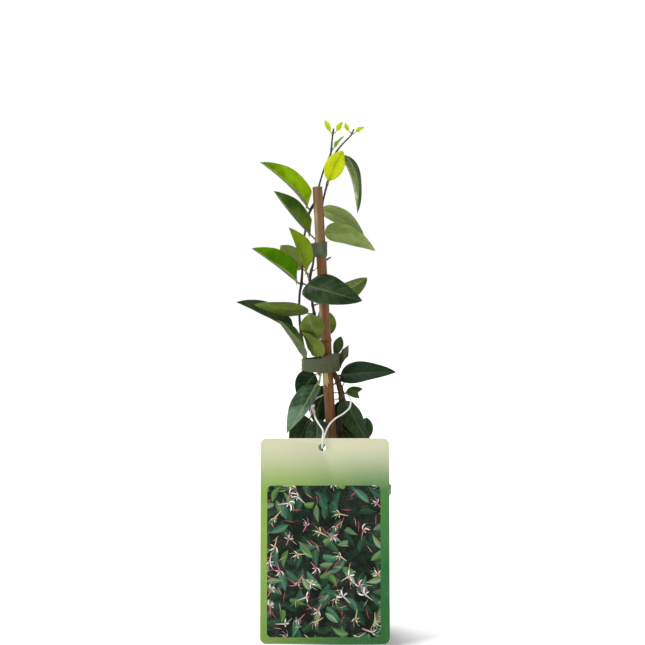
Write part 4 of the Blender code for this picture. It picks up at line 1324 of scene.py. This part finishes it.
@dataclass
class Cane:
    """The bamboo cane: a leaning rod with two nodes, a bud scar and a sawn hollow top."""

    foot: Point = (8.6, 0.0, 5.0)
    head: Point = (-9.4, 0.0, 324.0)
    foot_radius: float = 4.1
    head_radius: float = 3.6
    nodes: tuple[float, ...] = (92.0, 211.0)
    node_swell: float = 0.5
    node_length: float = 1.6
    groove: float = 0.35
    groove_length: float = 0.5
    groove_drop: float = 1.2
    scar_height: float = 213.4
    wall: float = 1.1
    depth: float = 9.0
    sides: int = 32

    def point(self, height: float) -> Point:
        """Give the cane's axis at a height."""
        share = (height - self.foot[2]) / (self.head[2] - self.foot[2])
        return tuple(a + (b - a) * share for a, b in zip(self.foot, self.head))

    def radius(self, height: float) -> float:
        """Give the cane's radius at a height, with the ridge and groove of its nodes."""
        share = (height - self.foot[2]) / (self.head[2] - self.foot[2])
        plain = self.foot_radius + (self.head_radius - self.foot_radius) * share
        for node in self.nodes:
            plain += self.node_swell * math.exp(-(((height - node) / self.node_length) ** 2))
            below = height - node + self.groove_drop
            plain -= self.groove * math.exp(-((below / self.groove_length) ** 2))
        return plain

    def build(self) -> Piece:
        """Build the cane and its bud scar."""
        heights = {self.foot[2] + (self.head[2] - self.foot[2]) * i / 60 for i in range(61)}
        for node in self.nodes:
            heights.update(node - 5 + 0.4 * i for i in range(26))
        rings = [(*self.point(z), self.radius(z)) for z in sorted(heights)]
        piece = rod(
            "cane_bamboo", rings, self.sides, lambda a, b: 1 + 0.012 * math.sin(6 * math.pi * a + 3 * b)
        )
        self.hollow(piece)
        piece = join_pieces((piece, self.bud_scar()))
        return hand_over(piece, "bamboo", "cane", BambooSkin().dress("bamboo"))

    def hollow(self, piece: Piece) -> None:
        """Open the sawn top: inset its end face and press it down."""
        use_only(piece)
        top = max(piece.data.polygons, key=lambda face: face.center.z)
        for part in (piece.data.vertices, piece.data.edges, piece.data.polygons):
            part.foreach_set("select", [False] * len(part))
        top.select = True
        bpy.ops.object.mode_set(mode="EDIT")
        bpy.ops.mesh.select_mode(type="FACE")
        bpy.ops.mesh.inset(thickness=self.wall * MM)
        down = (Vector(self.foot) - Vector(self.head)).normalized() * self.depth * MM
        bpy.ops.mesh.extrude_region_move(TRANSFORM_OT_translate={"value": down})
        bpy.ops.object.mode_set(mode="OBJECT")
        smooth_shade(piece, 40)

    def bud_scar(self) -> Piece:
        """Make the flat pointed scar over the upper node, on its left."""
        axis = Vector(self.point(self.scar_height))
        outward = Vector((-0.93, -0.37, 0.0))
        middle = axis + outward * (self.radius(self.scar_height) - 0.55)
        deselect_all()
        bpy.ops.mesh.primitive_uv_sphere_add(segments=16, ring_count=10, radius=1.0)
        scar = new_piece("cane_scar")
        side = Vector((0.37, -0.93, 0.0))
        for vertex in scar.data.vertices:
            x, y, z = vertex.co
            taper = 1.0 - 0.45 * z
            vertex.co = (middle + side * x * 1.5 * taper + outward * y * 0.9 + Vector((0, 0, z * 2.6))) * MM
        smooth_shade(scar)
        return scar


# Tape ties


@dataclass(frozen=True)
class TapeSkin:
    """Thin grey-green tying tape."""

    colour: Colour = (0.076, 0.086, 0.038)
    pale: Colour = (0.12, 0.14, 0.075)
    glow: Colour = (0.15, 0.20, 0.08)

    def dress(self, name: str) -> Material:
        """Make the material."""
        paint = Paint(name)
        place = paint.place()
        stretch = paint.cloud(paint.scaled(place, 90.0, 90.0, 900.0), 1.0, 3.0)
        wrinkle = paint.cloud(paint.scaled(place, 160.0, 160.0, 60.0), 1.0, 2.0)
        colour = paint.blend(paint.ease(wrinkle, 0.45, 0.8), self.colour, self.pale)
        colour = paint.blend(paint.times(stretch, 0.2), colour, self.pale)
        rough = paint.times_plus(stretch, 0.2, 0.3)
        relief = paint.times_plus(wrinkle, 1.2, paint.times(stretch, 0.4))
        paint.set(Base_Color=colour, Roughness=rough, Normal=paint.bump(relief, 0.35, 0.4))
        paint.set(Specular_IOR_Level=0.3)
        paint.let_light_through(self.glow, 0.25)
        return paint.material


TapeRoute = tuple[tuple[float, float, float, float], ...]
UPPER_TIE: TapeRoute = (
    (-2.2, 1.2, 273.0, 283.8),
    (-2.6, -2.4, 272.8, 283.8),
    (-6.0, -4.7, 272.2, 283.2),
    (-10.6, -3.4, 272.6, 282.8),
    (-14.0, 1.4, 272.8, 282.6),
    (-14.6, 5.6, 272.2, 282.8),
    (-12.0, 8.4, 272.6, 283.0),
    (-7.2, 8.4, 273.0, 283.4),
    (-3.0, 5.0, 273.2, 283.6),
)
LOWER_TIE: TapeRoute = (
    (7.0, -0.4, 188.6, 201.0),
    (5.6, -4.2, 188.4, 202.0),
    (0.6, -10.2, 188.0, 201.4),
    (-6.5, -12.8, 187.6, 198.4),
    (-13.5, -11.0, 188.2, 197.8),
    (-19.6, -4.4, 188.8, 197.8),
    (-20.8, 1.8, 188.8, 197.8),
    (-17.0, 6.6, 188.8, 198.2),
    (-8.6, 10.8, 188.6, 199.2),
    (0.0, 11.6, 188.4, 200.2),
    (6.2, 9.0, 189.0, 201.0),
    (8.2, 5.0, 191.6, 202.6),
    (9.4, 1.8, 194.8, 204.8),
    (13.6, 0.6, 199.8, 207.6),
)


@dataclass
class TapeTie:
    """One tie: a strip of tape on edge, wound round what it holds."""

    name: str
    route: TapeRoute
    skin: Material
    along: int = 150
    across: int = 12
    thickness: float = 0.22
    crinkle: float = 0.28
    ragged: float = 0.35

    def build(self) -> Piece:
        """Build the strip with its crinkles and uneven edges."""
        flat = [(x, y, (low + high) / 2, high - low) for x, y, low, high in self.route]
        read = smooth_route(flat, self.along + 1)

        def place(a: float, b: float) -> Vector:
            i = round(b * self.along)
            x, y, middle, tall = read[i]
            before, after = read[max(i - 1, 0)], read[min(i + 1, self.along)]
            way = Vector((after[0] - before[0], after[1] - before[1], 0.0)).normalized()
            out = Vector((way.y, -way.x, 0.0))
            spot = Vector((x, y, middle + (a - 0.5) * tall))
            seed = Vector((x * 0.16, y * 0.16, spot.z * 0.55))
            push = self.crinkle * noise.noise(seed * 1.2) + 0.12 * noise.noise(seed * 4.0)
            edge = self.ragged * noise.noise(Vector((x * 0.3, y * 0.3, 7.0 * round(a)))) * (2 * a - 1) ** 2
            return spot + out * push + Vector((0.0, 0.0, edge))

        piece = flat_grid(f"{self.name}_tape", self.across, self.along)
        shape_sheet(piece, place)
        apply_modifier(piece, "SOLIDIFY", thickness=self.thickness * MM, offset=0.0)
        smooth_shade(piece, 60)
        return hand_over(piece, "tape", self.name, self.skin)


# Pot and soil


@dataclass(frozen=True)
class PotSkin:
    """Black moulded plastic with a fine grain, dusty."""

    colour: Colour = (0.010, 0.010, 0.011)
    worn: Colour = (0.035, 0.034, 0.033)
    dust: Colour = (0.16, 0.13, 0.10)

    def dress(self, name: str) -> Material:
        """Make the material."""
        paint = Paint(name)
        place = paint.place()
        grain = paint.cloud(place, 2200.0, 3.0)
        scuff = paint.ease(paint.cloud(paint.scaled(place, 60.0, 60.0, 500.0), 1.0, 4.0), 0.55, 0.8)
        dust = paint.use(DUST, Place=place, Amount=0.45)["Dust"]
        colour = paint.blend(paint.times(scuff, 0.5), self.colour, self.worn)
        colour = paint.blend(dust, colour, self.dust)
        rough = paint.plus(paint.times_plus(grain, 0.2, 0.32), paint.times(dust, 0.4))
        paint.set(Base_Color=colour, Roughness=rough, Normal=paint.bump(grain, 0.35, 0.12))
        return paint.material


@dataclass
class NurseryPot:
    """The round nursery pot, with its rim band, foot and drain holes."""

    rim_radius: float = 45.0
    height: float = 105.0
    base_radius: float = 33.0
    wall: float = 1.2
    floor: float = 2.0
    rim_height: float = 6.0
    rim_step: float = 1.4
    hole_radius: float = 3.5
    hole_circle: float = 22.0
    holes: int = 6
    sides: int = 120

    def profile(self) -> list[tuple[float, float]]:
        """List the section from the middle of the underside, round the wall, to the middle of the floor."""
        shelf = self.height - self.rim_height
        neck = self.rim_radius - self.rim_step
        rows = [(0.0, 0.0), (12.0, 0.0), (26.0, 0.0)]
        rows += [(self.base_radius - 1.6, 0.0), (self.base_radius - 0.6, 0.25)]
        steps = 22
        for i in range(steps + 1):
            share = i / steps
            radius = self.base_radius + (neck - self.base_radius) * share
            rows.append((radius, 1.0 + (shelf - 1.6 - 1.0) * share))
        rows += [(neck + 0.5, shelf - 0.5), (self.rim_radius - 0.3, shelf), (self.rim_radius, shelf + 0.5)]
        rows += [(self.rim_radius - 0.1, shelf + 3.0), (self.rim_radius, self.height - 0.9)]
        rows += [(self.rim_radius - 0.3, self.height - 0.25), (self.rim_radius - 0.8, self.height)]
        rows += [(self.rim_radius - 1.5, self.height - 0.2), (neck - self.wall + 0.5, shelf + 1.0)]
        inner = neck - self.wall
        foot = self.base_radius - self.wall
        for i in range(steps + 1):
            share = i / steps
            height = shelf - 2.0 + (self.floor + 0.8 - shelf + 2.0) * share
            rows.append((inner + (foot - inner) * share, height))
        rows += [(foot - 0.9, self.floor), (20.0, self.floor), (0.0, self.floor)]
        return rows

    def build(self) -> Piece:
        """Turn the pot, cut its drain holes and dress it."""
        pot = lathe("pot_shell", self.profile(), self.sides)
        for k in range(self.holes):
            angle = 2 * math.pi * (k + 0.53) / self.holes
            spot = Vector((math.cos(angle), math.sin(angle), 0.0)) * self.hole_circle * MM
            deselect_all()
            bpy.ops.mesh.primitive_cylinder_add(
                vertices=32, radius=self.hole_radius * MM, depth=12 * MM, location=spot
            )
            cut_away(pot, new_piece(f"drain_{k}"))
        smooth_shade(pot, 35)
        return hand_over(pot, "pot", "pot", PotSkin().dress("pot plastic"))


@dataclass(frozen=True)
class EarthSkin:
    """Moist peat compost with bark, fibre and a few pale grains."""

    peat: Colour = (0.022, 0.013, 0.008)
    crumb: Colour = (0.075, 0.045, 0.026)
    grain: Colour = (0.45, 0.42, 0.36)

    def dress(self, name: str) -> Material:
        """Make the material."""
        paint = Paint(name)
        place = paint.place()
        lump = paint.cloud(place, 350.0, 6.0, 0.7)
        fine = paint.cloud(place, 1800.0, 3.0)
        colour = paint.blend(paint.ease(lump, 0.35, 0.7), self.peat, self.crumb)
        bits = paint.cells(place, 420.0)
        pale = paint.times(paint.ease(bits.outputs["Distance"], 0.16, 0.22, 1.0, 0.0), 0.5)
        some = paint.ease(paint.split(bits.outputs["Color"])[0], 0.90, 0.92)
        colour = paint.blend(paint.times(pale, some), colour, self.grain)
        relief = paint.times_plus(fine, 0.5, lump)
        paint.set(Base_Color=colour, Roughness=0.93, Normal=paint.bump(relief, 1.0, 0.8))
        return paint.material


@dataclass
class Soil:
    """The plug of compost: a crumbly top, and loose crumbs on it."""

    top: float = 95.0
    relief: float = 1.6
    sides: int = 96
    rings: int = 44
    crumbs: int = 260

    def level(self, x: float, y: float) -> float:
        """Give the height of the soil's top."""
        waves = math.sin(0.31 * x + 1.0) * math.cos(0.27 * y) + 0.6 * math.sin(0.53 * y + 0.36 * x)
        lumps = noise.fractal(Vector((x * 0.22, y * 0.22, 3.0)), 0.8, 2.1, 5)
        return self.top + self.relief * 0.6 * waves + 0.9 * lumps

    def build(self) -> Piece:
        """Build the plug, scatter its crumbs and dress it."""
        pot = NurseryPot()
        slope =(pot.rim_radius - pot.rim_step - pot.base_radius) / (pot.height - pot.rim_height)
        clear = pot.wall + 0.8
        bottom = pot.floor + 1.0
        low = pot.base_radius - clear + slope * bottom
        wide = pot.base_radius - clear + slope * (self.top - 4.0)

        def place(a: float, b: float) -> Vector:
            row = round(b * (self.rings + 1))
            if row < 2:
                return round_about(row * low, a, bottom)
            spot = round_about(wide * (1 - (row - 2) / (self.rings - 1)), a, 0.0)
            spot.z = self.level(spot.x, spot.y)
            return spot

        piece = flat_grid("soil_plug", self.sides, self.rings + 1)
        shape_sheet(piece, place)
        close_up(piece, fill=False)
        smooth_shade(piece, 50)
        piece = join_pieces((piece, self.loose_crumbs(wide)))
        return hand_over(piece, "soil", "soil", EarthSkin().dress("compost"))

    def loose_crumbs(self, wide: float) -> Piece:
        """Scatter small lumps of compost over the top, from one seeded draw."""
        draw = random.Random(11)
        deselect_all()
        bpy.ops.mesh.primitive_ico_sphere_add(subdivisions=1, radius=1.0)
        lump = new_piece("soil_crumb")
        shape = [v.co.copy() for v in lump.data.vertices]
        copies = [lump]
        for i in range(1, self.crumbs):
            copies.append(bpy.data.objects.new(f"soil_crumb_{i}", lump.data.copy()))
            bpy.context.scene.collection.objects.link(copies[-1])
        for piece in copies:
            radius = (wide - 2.5) * math.sqrt(draw.random())
            angle = draw.uniform(0, 2 * math.pi)
            x, y = radius * math.cos(angle), radius * math.sin(angle)
            size = draw.uniform(0.4, 1.3)
            spin = Matrix.Rotation(draw.uniform(0, 6.28), 3, "Z")
            spin = spin @ Matrix.Rotation(draw.uniform(0, 3.14), 3, "X")
            reach = (draw.uniform(0.7, 1.8), draw.uniform(0.6, 1.1), draw.uniform(0.5, 0.9))
            stretch = Matrix.Diagonal(reach)
            middle = Vector((x, y, self.level(x, y) + size * 0.2))
            for vertex, start in zip(piece.data.vertices, shape):
                crumb = start * size * (1 + 0.2 * noise.noise(start * 9 + middle))
                vertex.co = (middle + spin @ (stretch @ crumb)) * MM
        return join_pieces(copies)


# Label and string


@dataclass(frozen=True)
class CardSkin:
    """Glossy printed card: cream at the top, yellow-green at the left, deep green at the right and below."""

    cream: Colour = (0.61, 0.60, 0.42)
    yellow: Colour = (0.23, 0.36, 0.065)
    mid: Colour = (0.065, 0.19, 0.045)
    deep: Colour = (0.016, 0.12, 0.035)
    back: Colour = (0.80, 0.80, 0.77)
    panel_left: float = -44.2
    panel_right: float = 34.8
    panel_low: float = 6.1
    panel_high: float = 110.5
    panel_corner: float = 3.3

    def dress(self, name: str) -> Material:
        """Make the printed face: the blended ground with the picture panel on it."""
        paint = Paint(name)
        place = paint.place()
        x, _, z = paint.split(place)
        across, height = paint.maths("DIVIDE", x, MM), paint.maths("DIVIDE", z, MM)
        right = paint.ease(across, -46.0, 36.0)
        green = paint.blend(right, self.yellow, self.mid)
        low = paint.ease(height, 112.0, 30.0)
        green = paint.blend(paint.times(right, low), green, self.deep)
        low_left = paint.times(paint.ease(height, 60.0, 4.0), 0.35)
        green = paint.blend(low_left, green, self.mid)
        top = paint.ease(height, 142.0, 104.0, 0.95, 0.0)
        colour = paint.blend(top, green, self.cream)
        flat = paint.add("CombineXYZ", {0: across, 1: height}).outputs[0]
        panel = self.rounded_panel(paint, across, height)
        colour = paint.blend(panel, colour, self.picture(paint, flat))
        dust = paint.use(DUST, Place=place, Amount=0.05)["Dust"]
        colour = paint.blend(dust, colour, self.back)
        rough = paint.plus(paint.times(dust, 0.5), 0.34)
        wave = paint.bump(paint.cloud(place, 40.0, 2.0), 0.12, 0.3)
        paint.set(Base_Color=colour, Roughness=rough, Normal=wave, Specular_IOR_Level=0.1)
        return paint.material

    def rounded_panel(self, paint: Paint, across: Value, height: Value) -> Socket:
        """Give the mask of the picture panel, a rectangle with rounded corners."""
        sides = []
        for value, low, high in (
            (across, self.panel_left, self.panel_right),
            (height, self.panel_low, self.panel_high),
        ):
            off = paint.absolute(paint.minus(value, (low + high) / 2))
            past = paint.minus(off, (high - low) / 2 - self.panel_corner)
            sides.append(paint.maths("MAXIMUM", past, 0.0))
        squares = paint.times_plus(sides[0], sides[0], paint.times(sides[1], sides[1]))
        soft = 0.12
        reach = paint.maths("SQRT", squares)
        return paint.ease(reach, self.panel_corner - soft, self.panel_corner + soft, 1.0, 0.0)

    def picture(self, paint: Paint, flat: Value) -> Socket:
        """Print a generic tangle of leaves, buds and blossoms, laid over each other from dark to light."""
        murk = paint.ease(paint.cloud(flat, 0.12, 4.0), 0.35, 0.7)
        colour = paint.blend(murk, (0.002, 0.004, 0.003), (0.012, 0.022, 0.012))
        leaves = (
            (0.086, 3.0, 0.62, 0.23, 1.0, (0.003, 0.012, 0.006), (0.016, 0.052, 0.026)),
            (0.080, 11.0, 0.60, 0.21, 0.85, (0.007, 0.030, 0.015), (0.036, 0.115, 0.058)),
            (0.072, 23.0, 0.58, 0.19, 0.6, (0.014, 0.060, 0.034), (0.090, 0.235, 0.140)),
            (0.105, 29.0, 0.50, 0.035, 0.5, (0.050, 0.016, 0.010), (0.160, 0.060, 0.030)),
            (0.084, 37.0, 0.56, 0.19, 0.4, (0.034, 0.105, 0.022), (0.185, 0.340, 0.100)),
            (0.080, 41.0, 0.52, 0.17, 0.3, (0.066, 0.125, 0.055), (0.270, 0.380, 0.200)),
            (0.085, 51.0, 0.42, 0.036, 0.45, (0.260, 0.020, 0.050), (0.560, 0.120, 0.180)),
            (0.095, 67.0, 0.38, 0.028, 0.35, (0.600, 0.440, 0.280), (0.720, 0.260, 0.260)),
        )
        for scale, seed, long, wide, kept, dark, light in leaves:
            shape = {"Scale": scale, "Seed": seed, "Long": long, "Wide": wide, "Kept": kept}
            layer = paint.use(PRINTED_LEAF, Place=flat, **shape)
            shade = paint.times(layer["Tone"], layer["Half"])
            skin = paint.blend(shade, dark, light)
            skin = paint.blend(paint.times(layer["Rib"], 0.5), skin, light)
            colour = paint.blend(layer["Mask"], colour, skin)
        blossoms = (
            (0.078, 5.0, 0.34, (0.60, 0.10, 0.20), (0.78, 0.62, 0.58)),
            (0.070, 19.0, 0.30, (0.62, 0.42, 0.20), (0.74, 0.66, 0.46)),
            (0.066, 43.0, 0.30, (0.70, 0.50, 0.48), (0.84, 0.83, 0.82)),
        )
        for scale, seed, kept, dark, light in blossoms:
            layer = paint.use(PRINTED_BLOSSOM, Place=flat, Scale=scale, Seed=seed, Kept=kept)
            skin = paint.blend(layer["Heart"], light, dark)
            colour = paint.blend(layer["Mask"], colour, skin)
        return colour

    def dress_back(self, name: str) -> Material:
        """Make the plain pale back and edges."""
        paint = Paint(name)
        place = paint.place()
        dust = paint.use(DUST, Place=place, Amount=0.25)["Dust"]
        tint = paint.cloud(place, 30.0, 3.0)
        colour = paint.blend(paint.times(tint, 0.2), self.back, (0.68, 0.70, 0.64))
        colour = paint.blend(dust, colour, (0.45, 0.40, 0.32))
        paint.set(Base_Color=colour, Roughness=paint.times_plus(dust, 0.4, 0.4))
        paint.set(Normal=paint.bump(paint.cloud(place, 900.0, 2.0), 0.1, 0.1))
        return paint.material


@dataclass
class LabelCard:
    """The hanging card, with rounded corners, a punched hole and a printed picture panel."""

    width: float = 90.0
    height: float = 142.0
    thickness: float = 0.8
    corner: float = 4.3
    centre_x: float = -3.9
    bottom: float = 1.5
    tilt: float = 3.5
    hole_radius: float = 2.6
    hole_x: float = -5.8
    hole_drop: float = 6.3

    def matrix(self) -> Matrix:
        """Place the card's own plane: its bottom edge forward, its back against the pot's rim."""
        pot = NurseryPot()
        tilt =Matrix.Rotation(math.radians(self.tilt), 4, "X")
        back = pot.rim_radius + 0.3 + (pot.height - self.bottom) * math.tan(math.radians(self.tilt))
        return Matrix.Translation((self.centre_x, -back - self.thickness / 2, self.bottom)) @ tilt.inverted()

    def hole(self) -> Vector:
        """Give the centre of the card's hole."""
        return self.matrix() @ Vector((self.hole_x - self.centre_x, 0.0, self.height - self.hole_drop))

    def plate(self) -> Piece:
        """Make the flat plate of the card, with rounded corners, and lean it in its place."""
        deselect_all()
        bpy.ops.mesh.primitive_cube_add(size=1.0)
        piece = new_piece("label_card")
        for vertex in piece.data.vertices:
            x, y, z = vertex.co
            vertex.co = Vector((x * self.width, y * self.thickness, (z + 0.5) * self.height)) * MM
        use_only(piece)
        bpy.ops.object.mode_set(mode="EDIT")
        bpy.ops.mesh.select_mode(type="EDGE")
        bpy.ops.mesh.select_all(action="DESELECT")
        bpy.ops.object.mode_set(mode="OBJECT")
        for edge in piece.data.edges:
            ends = [piece.data.vertices[i].co for i in edge.vertices]
            edge.select = abs(ends[0].y - ends[1].y) > 1e-6
        bpy.ops.object.mode_set(mode="EDIT")
        bpy.ops.mesh.bevel(offset=self.corner * MM, segments=10, profile=0.5, affect="EDGES")
        bpy.ops.object.mode_set(mode="OBJECT")
        place = self.matrix()
        place.translation *= MM
        piece.data.transform(place)
        smooth_shade(piece, 30)
        return piece

    def build(self) -> Piece:
        """Build the card, punch its hole and dress it."""
        card = self.plate()
        deselect_all()
        bpy.ops.mesh.primitive_cylinder_add(
            vertices=40,
            radius=self.hole_radius * MM,
            depth=6 * MM,
            location=self.hole() * MM,
            rotation=(math.radians(90 - self.tilt), 0.0, 0.0),
        )
        cut_away(card, new_piece("label_punch"))
        limit = math.radians(60)
        apply_modifier(card, "BEVEL", width=0.12 * MM, segments=2, limit_method="ANGLE", angle_limit=limit)
        smooth_shade(card, 30)
        skin = CardSkin()
        card.data.materials.append(skin.dress("label print"))
        card.data.materials.append(skin.dress_back("label back"))
        for face in card.data.polygons:
            face.material_index = 0 if face.normal.y < -0.9 else 1
        return hand_over(card, "card", "label")


@dataclass
class LabelString:
    """The white two-ply string that carries the card, and its knot at the left shoot."""

    card: LabelCard
    diameter: float = 1.2
    points: int = 76
    pitch: float = 3.4
    fine: int = 640
    sides: int = 12

    def route(self) -> list[Point]:
        """List the string's own points: knot, round the stems, down, through the hole and back up."""
        hole = self.card.hole()
        steps = (
            (0.5, 2.4, 3.4),
            (0.2, 1.5, 0.7),
            (0.0, 0.0, -0.3),
            (-0.1, -1.5, 0.7),
            (0.0, -2.4, 3.4),
        )
        return [
            (-15.4, 2.2, 163.4),
            (-15.8, 4.8, 164.0),
            (-14.2, 7.8, 165.4),
            (-9.0, 7.6, 168.6),
            (-3.0, 6.2, 171.4),
            (3.0, 6.8, 172.2),
            (8.2, 8.6, 172.2),
            (12.4, 6.4, 171.4),
            (13.8, 0.6, 170.0),
            (15.0, -7.0, 166.8),
            (14.0, -14.0, 162.6),
            (9.6, -21.0, 159.0),
            (4.4, -28.0, 156.4),
            (0.0, -34.0, 153.0),
            (-2.6, -39.4, 149.0),
            (-4.2, -41.4, 144.8),
            *[tuple(hole + Vector(step)) for step in steps],
            (-5.5, -45.2, 144.6),
            (-5.2, -42.6, 148.6),
            (-8.0, -35.0, 152.4),
            (-10.6, -26.0, 156.0),
            (-12.2, -16.0, 159.4),
            (-12.8, -7.0, 161.6),
            (-12.8, -1.2, 162.3),
        ]

    def skin(self) -> Material:
        """Make the string's material."""
        paint = Paint("white twine")
        place = paint.place()
        fuzz = paint.cloud(place, 2600.0, 3.0)
        tint = paint.cloud(place, 120.0, 2.0)
        colour = paint.blend(paint.ease(tint, 0.4, 0.8), (0.82, 0.81, 0.78), (0.66, 0.63, 0.57))
        paint.set(Base_Color=colour, Roughness=0.85, Normal=paint.bump(fuzz, 0.6, 0.15), Sheen_Weight=0.3)
        return paint.material

    def build(self) -> None:
        path = smooth_route(self.route(), self.points)
        length = sum(math.dist(a, b) for a, b in zip(path, path[1:]))
        rings = [(*p, self.diameter / 2) for p in smooth_route(self.route(), self.fine)]
        twist = two_ply(0.88, 0.18, length / self.pitch)
        string = rod("label_string_twist", rings, self.sides, twist)
        smooth_shade(string)
        skin = self.skin()
        hand_over(string, "twine", "label_string", skin)
        knot = self.knot()
        hand_over(knot, "twine", "string_knot", skin)
        tuple(c * MM for c in path[0])
        [tuple(c * MM for c in p) for p in path]

    def knot(self) -> Piece:
        """Make the small overhand knot with two cut tails."""
        centre = Vector((-13.0, 1.2, 162.6))
        loop: list[Ring] = []
        steps = 72
        for i in range(steps + 1):
            t = 2 * math.pi * i / steps
            x = 0.62 * (math.sin(t) + 1.5 * math.sin(2 * t))
            z = 0.5 * (math.cos(t) - 1.5 * math.cos(2 * t))
            y = -0.6 * math.sin(3 * t)
            loop.append((centre.x + x, centre.y + y, centre.z + z, 0.48))
        pieces = [rod("string_knot_twist", loop, 10, two_ply(0.85, 0.18, 9))]
        tails = (
            ((-13.4, 0.6, 162.0), (-14.0, -0.8, 160.4), (-14.3, -1.4, 158.4), (-14.1, -1.6, 156.8)),
            ((-12.6, 0.4, 162.0), (-12.0, -1.0, 160.6), (-11.4, -1.8, 159.2), (-11.3, -2.2, 157.6)),
        )
        for number, tail in enumerate(tails):
            rings = [(*p, 0.42) for p in smooth_route(tail, 24)]
            pieces.append(rod(f"string_tail_{number}", rings, 10, two_ply(0.85, 0.2, 2)))
        piece = join_pieces(pieces)
        smooth_shade(piece)
        return piece


@dataclass
class DryBract:
    """The dry, frayed, straw-coloured bract in front of the cane."""

    strands: tuple[tuple[Point, ...], ...] = (
        ((-3.6, -5.2, 190.0), (-3.4, -5.6, 185.0), (-2.6, -5.5, 180.0), (-2.0, -5.2, 176.8)),
        ((-3.0, -5.4, 189.0), (-2.4, -5.7, 184.5), (-1.6, -5.4, 181.5), (-0.8, -5.2, 179.6)),
        ((-3.8, -5.3, 188.4), (-4.0, -5.7, 184.0), (-3.6, -5.5, 180.6), (-3.8, -5.2, 178.4)),
    )
    across: int = 6
    along: int = 14
    half_width: float = 0.95
    curl: float = 0.35
    thickness: float = 0.16

    def build(self) -> Piece:
        """Build the strands as thin curled strips."""
        pieces = []
        for number, strand in enumerate(self.strands):
            read = smooth_route(strand, self.along + 1)

            def place(a: float, b: float, read: list[tuple[float, ...]] = read) -> Vector:
                x, y, z = read[round(b * self.along)]
                half = self.half_width * math.sin(math.pi * min(1.0, 0.18 + 0.8 * b)) ** 0.7
                s = 2 * a - 1
                curled = self.curl * s * s - 0.12 * math.sin(9 * b)
                return Vector((x + half * s, y + curled, z + 0.2 * math.sin(5 * s)))

            piece = flat_grid(f"bract_{number}", self.across, self.along)
            shape_sheet(piece, place)
            apply_modifier(piece, "SOLIDIFY", thickness=self.thickness * MM, offset=0.0)
            smooth_shade(piece)
            pieces.append(piece)
        piece = join_pieces(pieces)
        paint = Paint("dry straw")
        grain = paint.use(GRAIN, Place=paint.place(), Fineness=1.6)
        colour = paint.blend(grain["Fibre"], (0.30, 0.20, 0.07), (0.66, 0.54, 0.28))
        paint.set(Base_Color=colour, Roughness=0.8, Normal=paint.bump(grain["Fibre"], 0.6, 0.15))
        return hand_over(piece, "straw", "dry_bract", paint.material)


# Studio


@dataclass
class Studio:
    """The floor, the lights and the camera."""

    floor_colour: Colour = (0.93, 0.93, 0.93)
    camera: Point = (-5.6, -900.0, 224.3)
    focal_pixels: float = 1223.5
    frame_pixels: float = 645.0
    sensor: float = 36.0
    room_light: float = 0.5

    def build(self) -> None:
        """Set up the camera, the floor and the lights."""
        data = bpy.data.cameras.new("camera")
        data.sensor_width = self.sensor
        data.lens = self.sensor * self.focal_pixels / self.frame_pixels
        data.clip_start = 0.02
        data.clip_end = 30.0
        camera = bpy.data.objects.new("camera", data)
        camera.location = Vector(self.camera) * MM
        camera.rotation_euler = (math.radians(90), 0.0, 0.0)
        bpy.context.scene.collection.objects.link(camera)
        bpy.context.scene.camera = camera
        self.lay_floor()
        self.hang_lights()

    def lay_floor(self) -> None:
        """Lay a wide round pale floor."""
        radii = (0.0, 300.0, 900.0, 2500.0, 8000.0)
        last = len(radii) - 1
        floor = flat_grid("floor", 96, last)
        shape_sheet(floor, lambda a, b: round_about(radii[round(b * last)], a, 0.0))
        close_up(floor, fill=False, gap=1e-5)
        smooth_shade(floor)
        paint = Paint("floor")
        paint.set(Base_Color=self.floor_colour, Roughness=0.9)
        floor.data.materials.append(paint.material)

    def hang_lights(self) -> None:
        """Shine wide soft lights from the front left and from behind, in a room that looks white."""
        bpy.context.scene.view_settings.view_transform = "Standard"
        world = bpy.data.worlds.new("room")
        world.use_nodes = True
        wiring = Wiring(world.node_tree)
        ground = world.node_tree.nodes["Background"]
        seen = wiring.add("LightPath").outputs["Is Camera Ray"]
        wiring.feed(ground.inputs["Strength"], wiring.ease(seen, 0.0, 1.0, self.room_light, 1.0))
        ground.inputs["Color"].default_value = (1.0, 1.0, 1.0, 1.0)
        bpy.context.scene.world = world
        shining = (
            ("key light", (-1.0, -0.5, 0.75), 22.0, 1.9),
            ("back light", (-0.5, 0.9, 1.1), 35.0, 2.8),
            ("side light", (0.9, -0.3, 0.6), 50.0, 0.4),
        )
        for name, way, width, power in shining:
            light = bpy.data.lights.new(name, "SUN")
            light.angle = math.radians(width)
            light.energy = power
            hanging = bpy.data.objects.new(name, light)
            hanging.location = way
            hanging.rotation_euler = (-Vector(way)).to_track_quat("-Z", "Y").to_euler()
            bpy.context.scene.collection.objects.link(hanging)


def main() -> None:
    """Build every sub-assembly in order."""
    logging.basicConfig(level=logging.INFO, format="%(message)s")
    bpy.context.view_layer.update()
    Studio().build()
    card = LabelCard()
    LabelString(card).build()
    card.build()
    NurseryPot().build()
    Soil().build()
    Cane().build()
    Shoot(LEFT_SHOOT, YOUNG_BARK, "young_bark", 300).build()
    Shoot(RIGHT_SHOOT, WOODY_BARK, "woody_bark", 300).build()
    Shoot(SIDE_SHOOT, STRAW_BARK, "straw", 36).build()
    # The upper tie wears a lighter copy of the tape: a painted highlight.
    TapeTie("tie_upper", UPPER_TIE, TapeSkin(pale=(0.16, 0.20, 0.11)).dress("faded tape"), along=110).build()
    TapeTie("tie_lower", LOWER_TIE, TapeSkin().dress("tying tape"), along=190).build()
    DryBract().build()
    build_foliage()


if __name__ == "__main__":
    main()
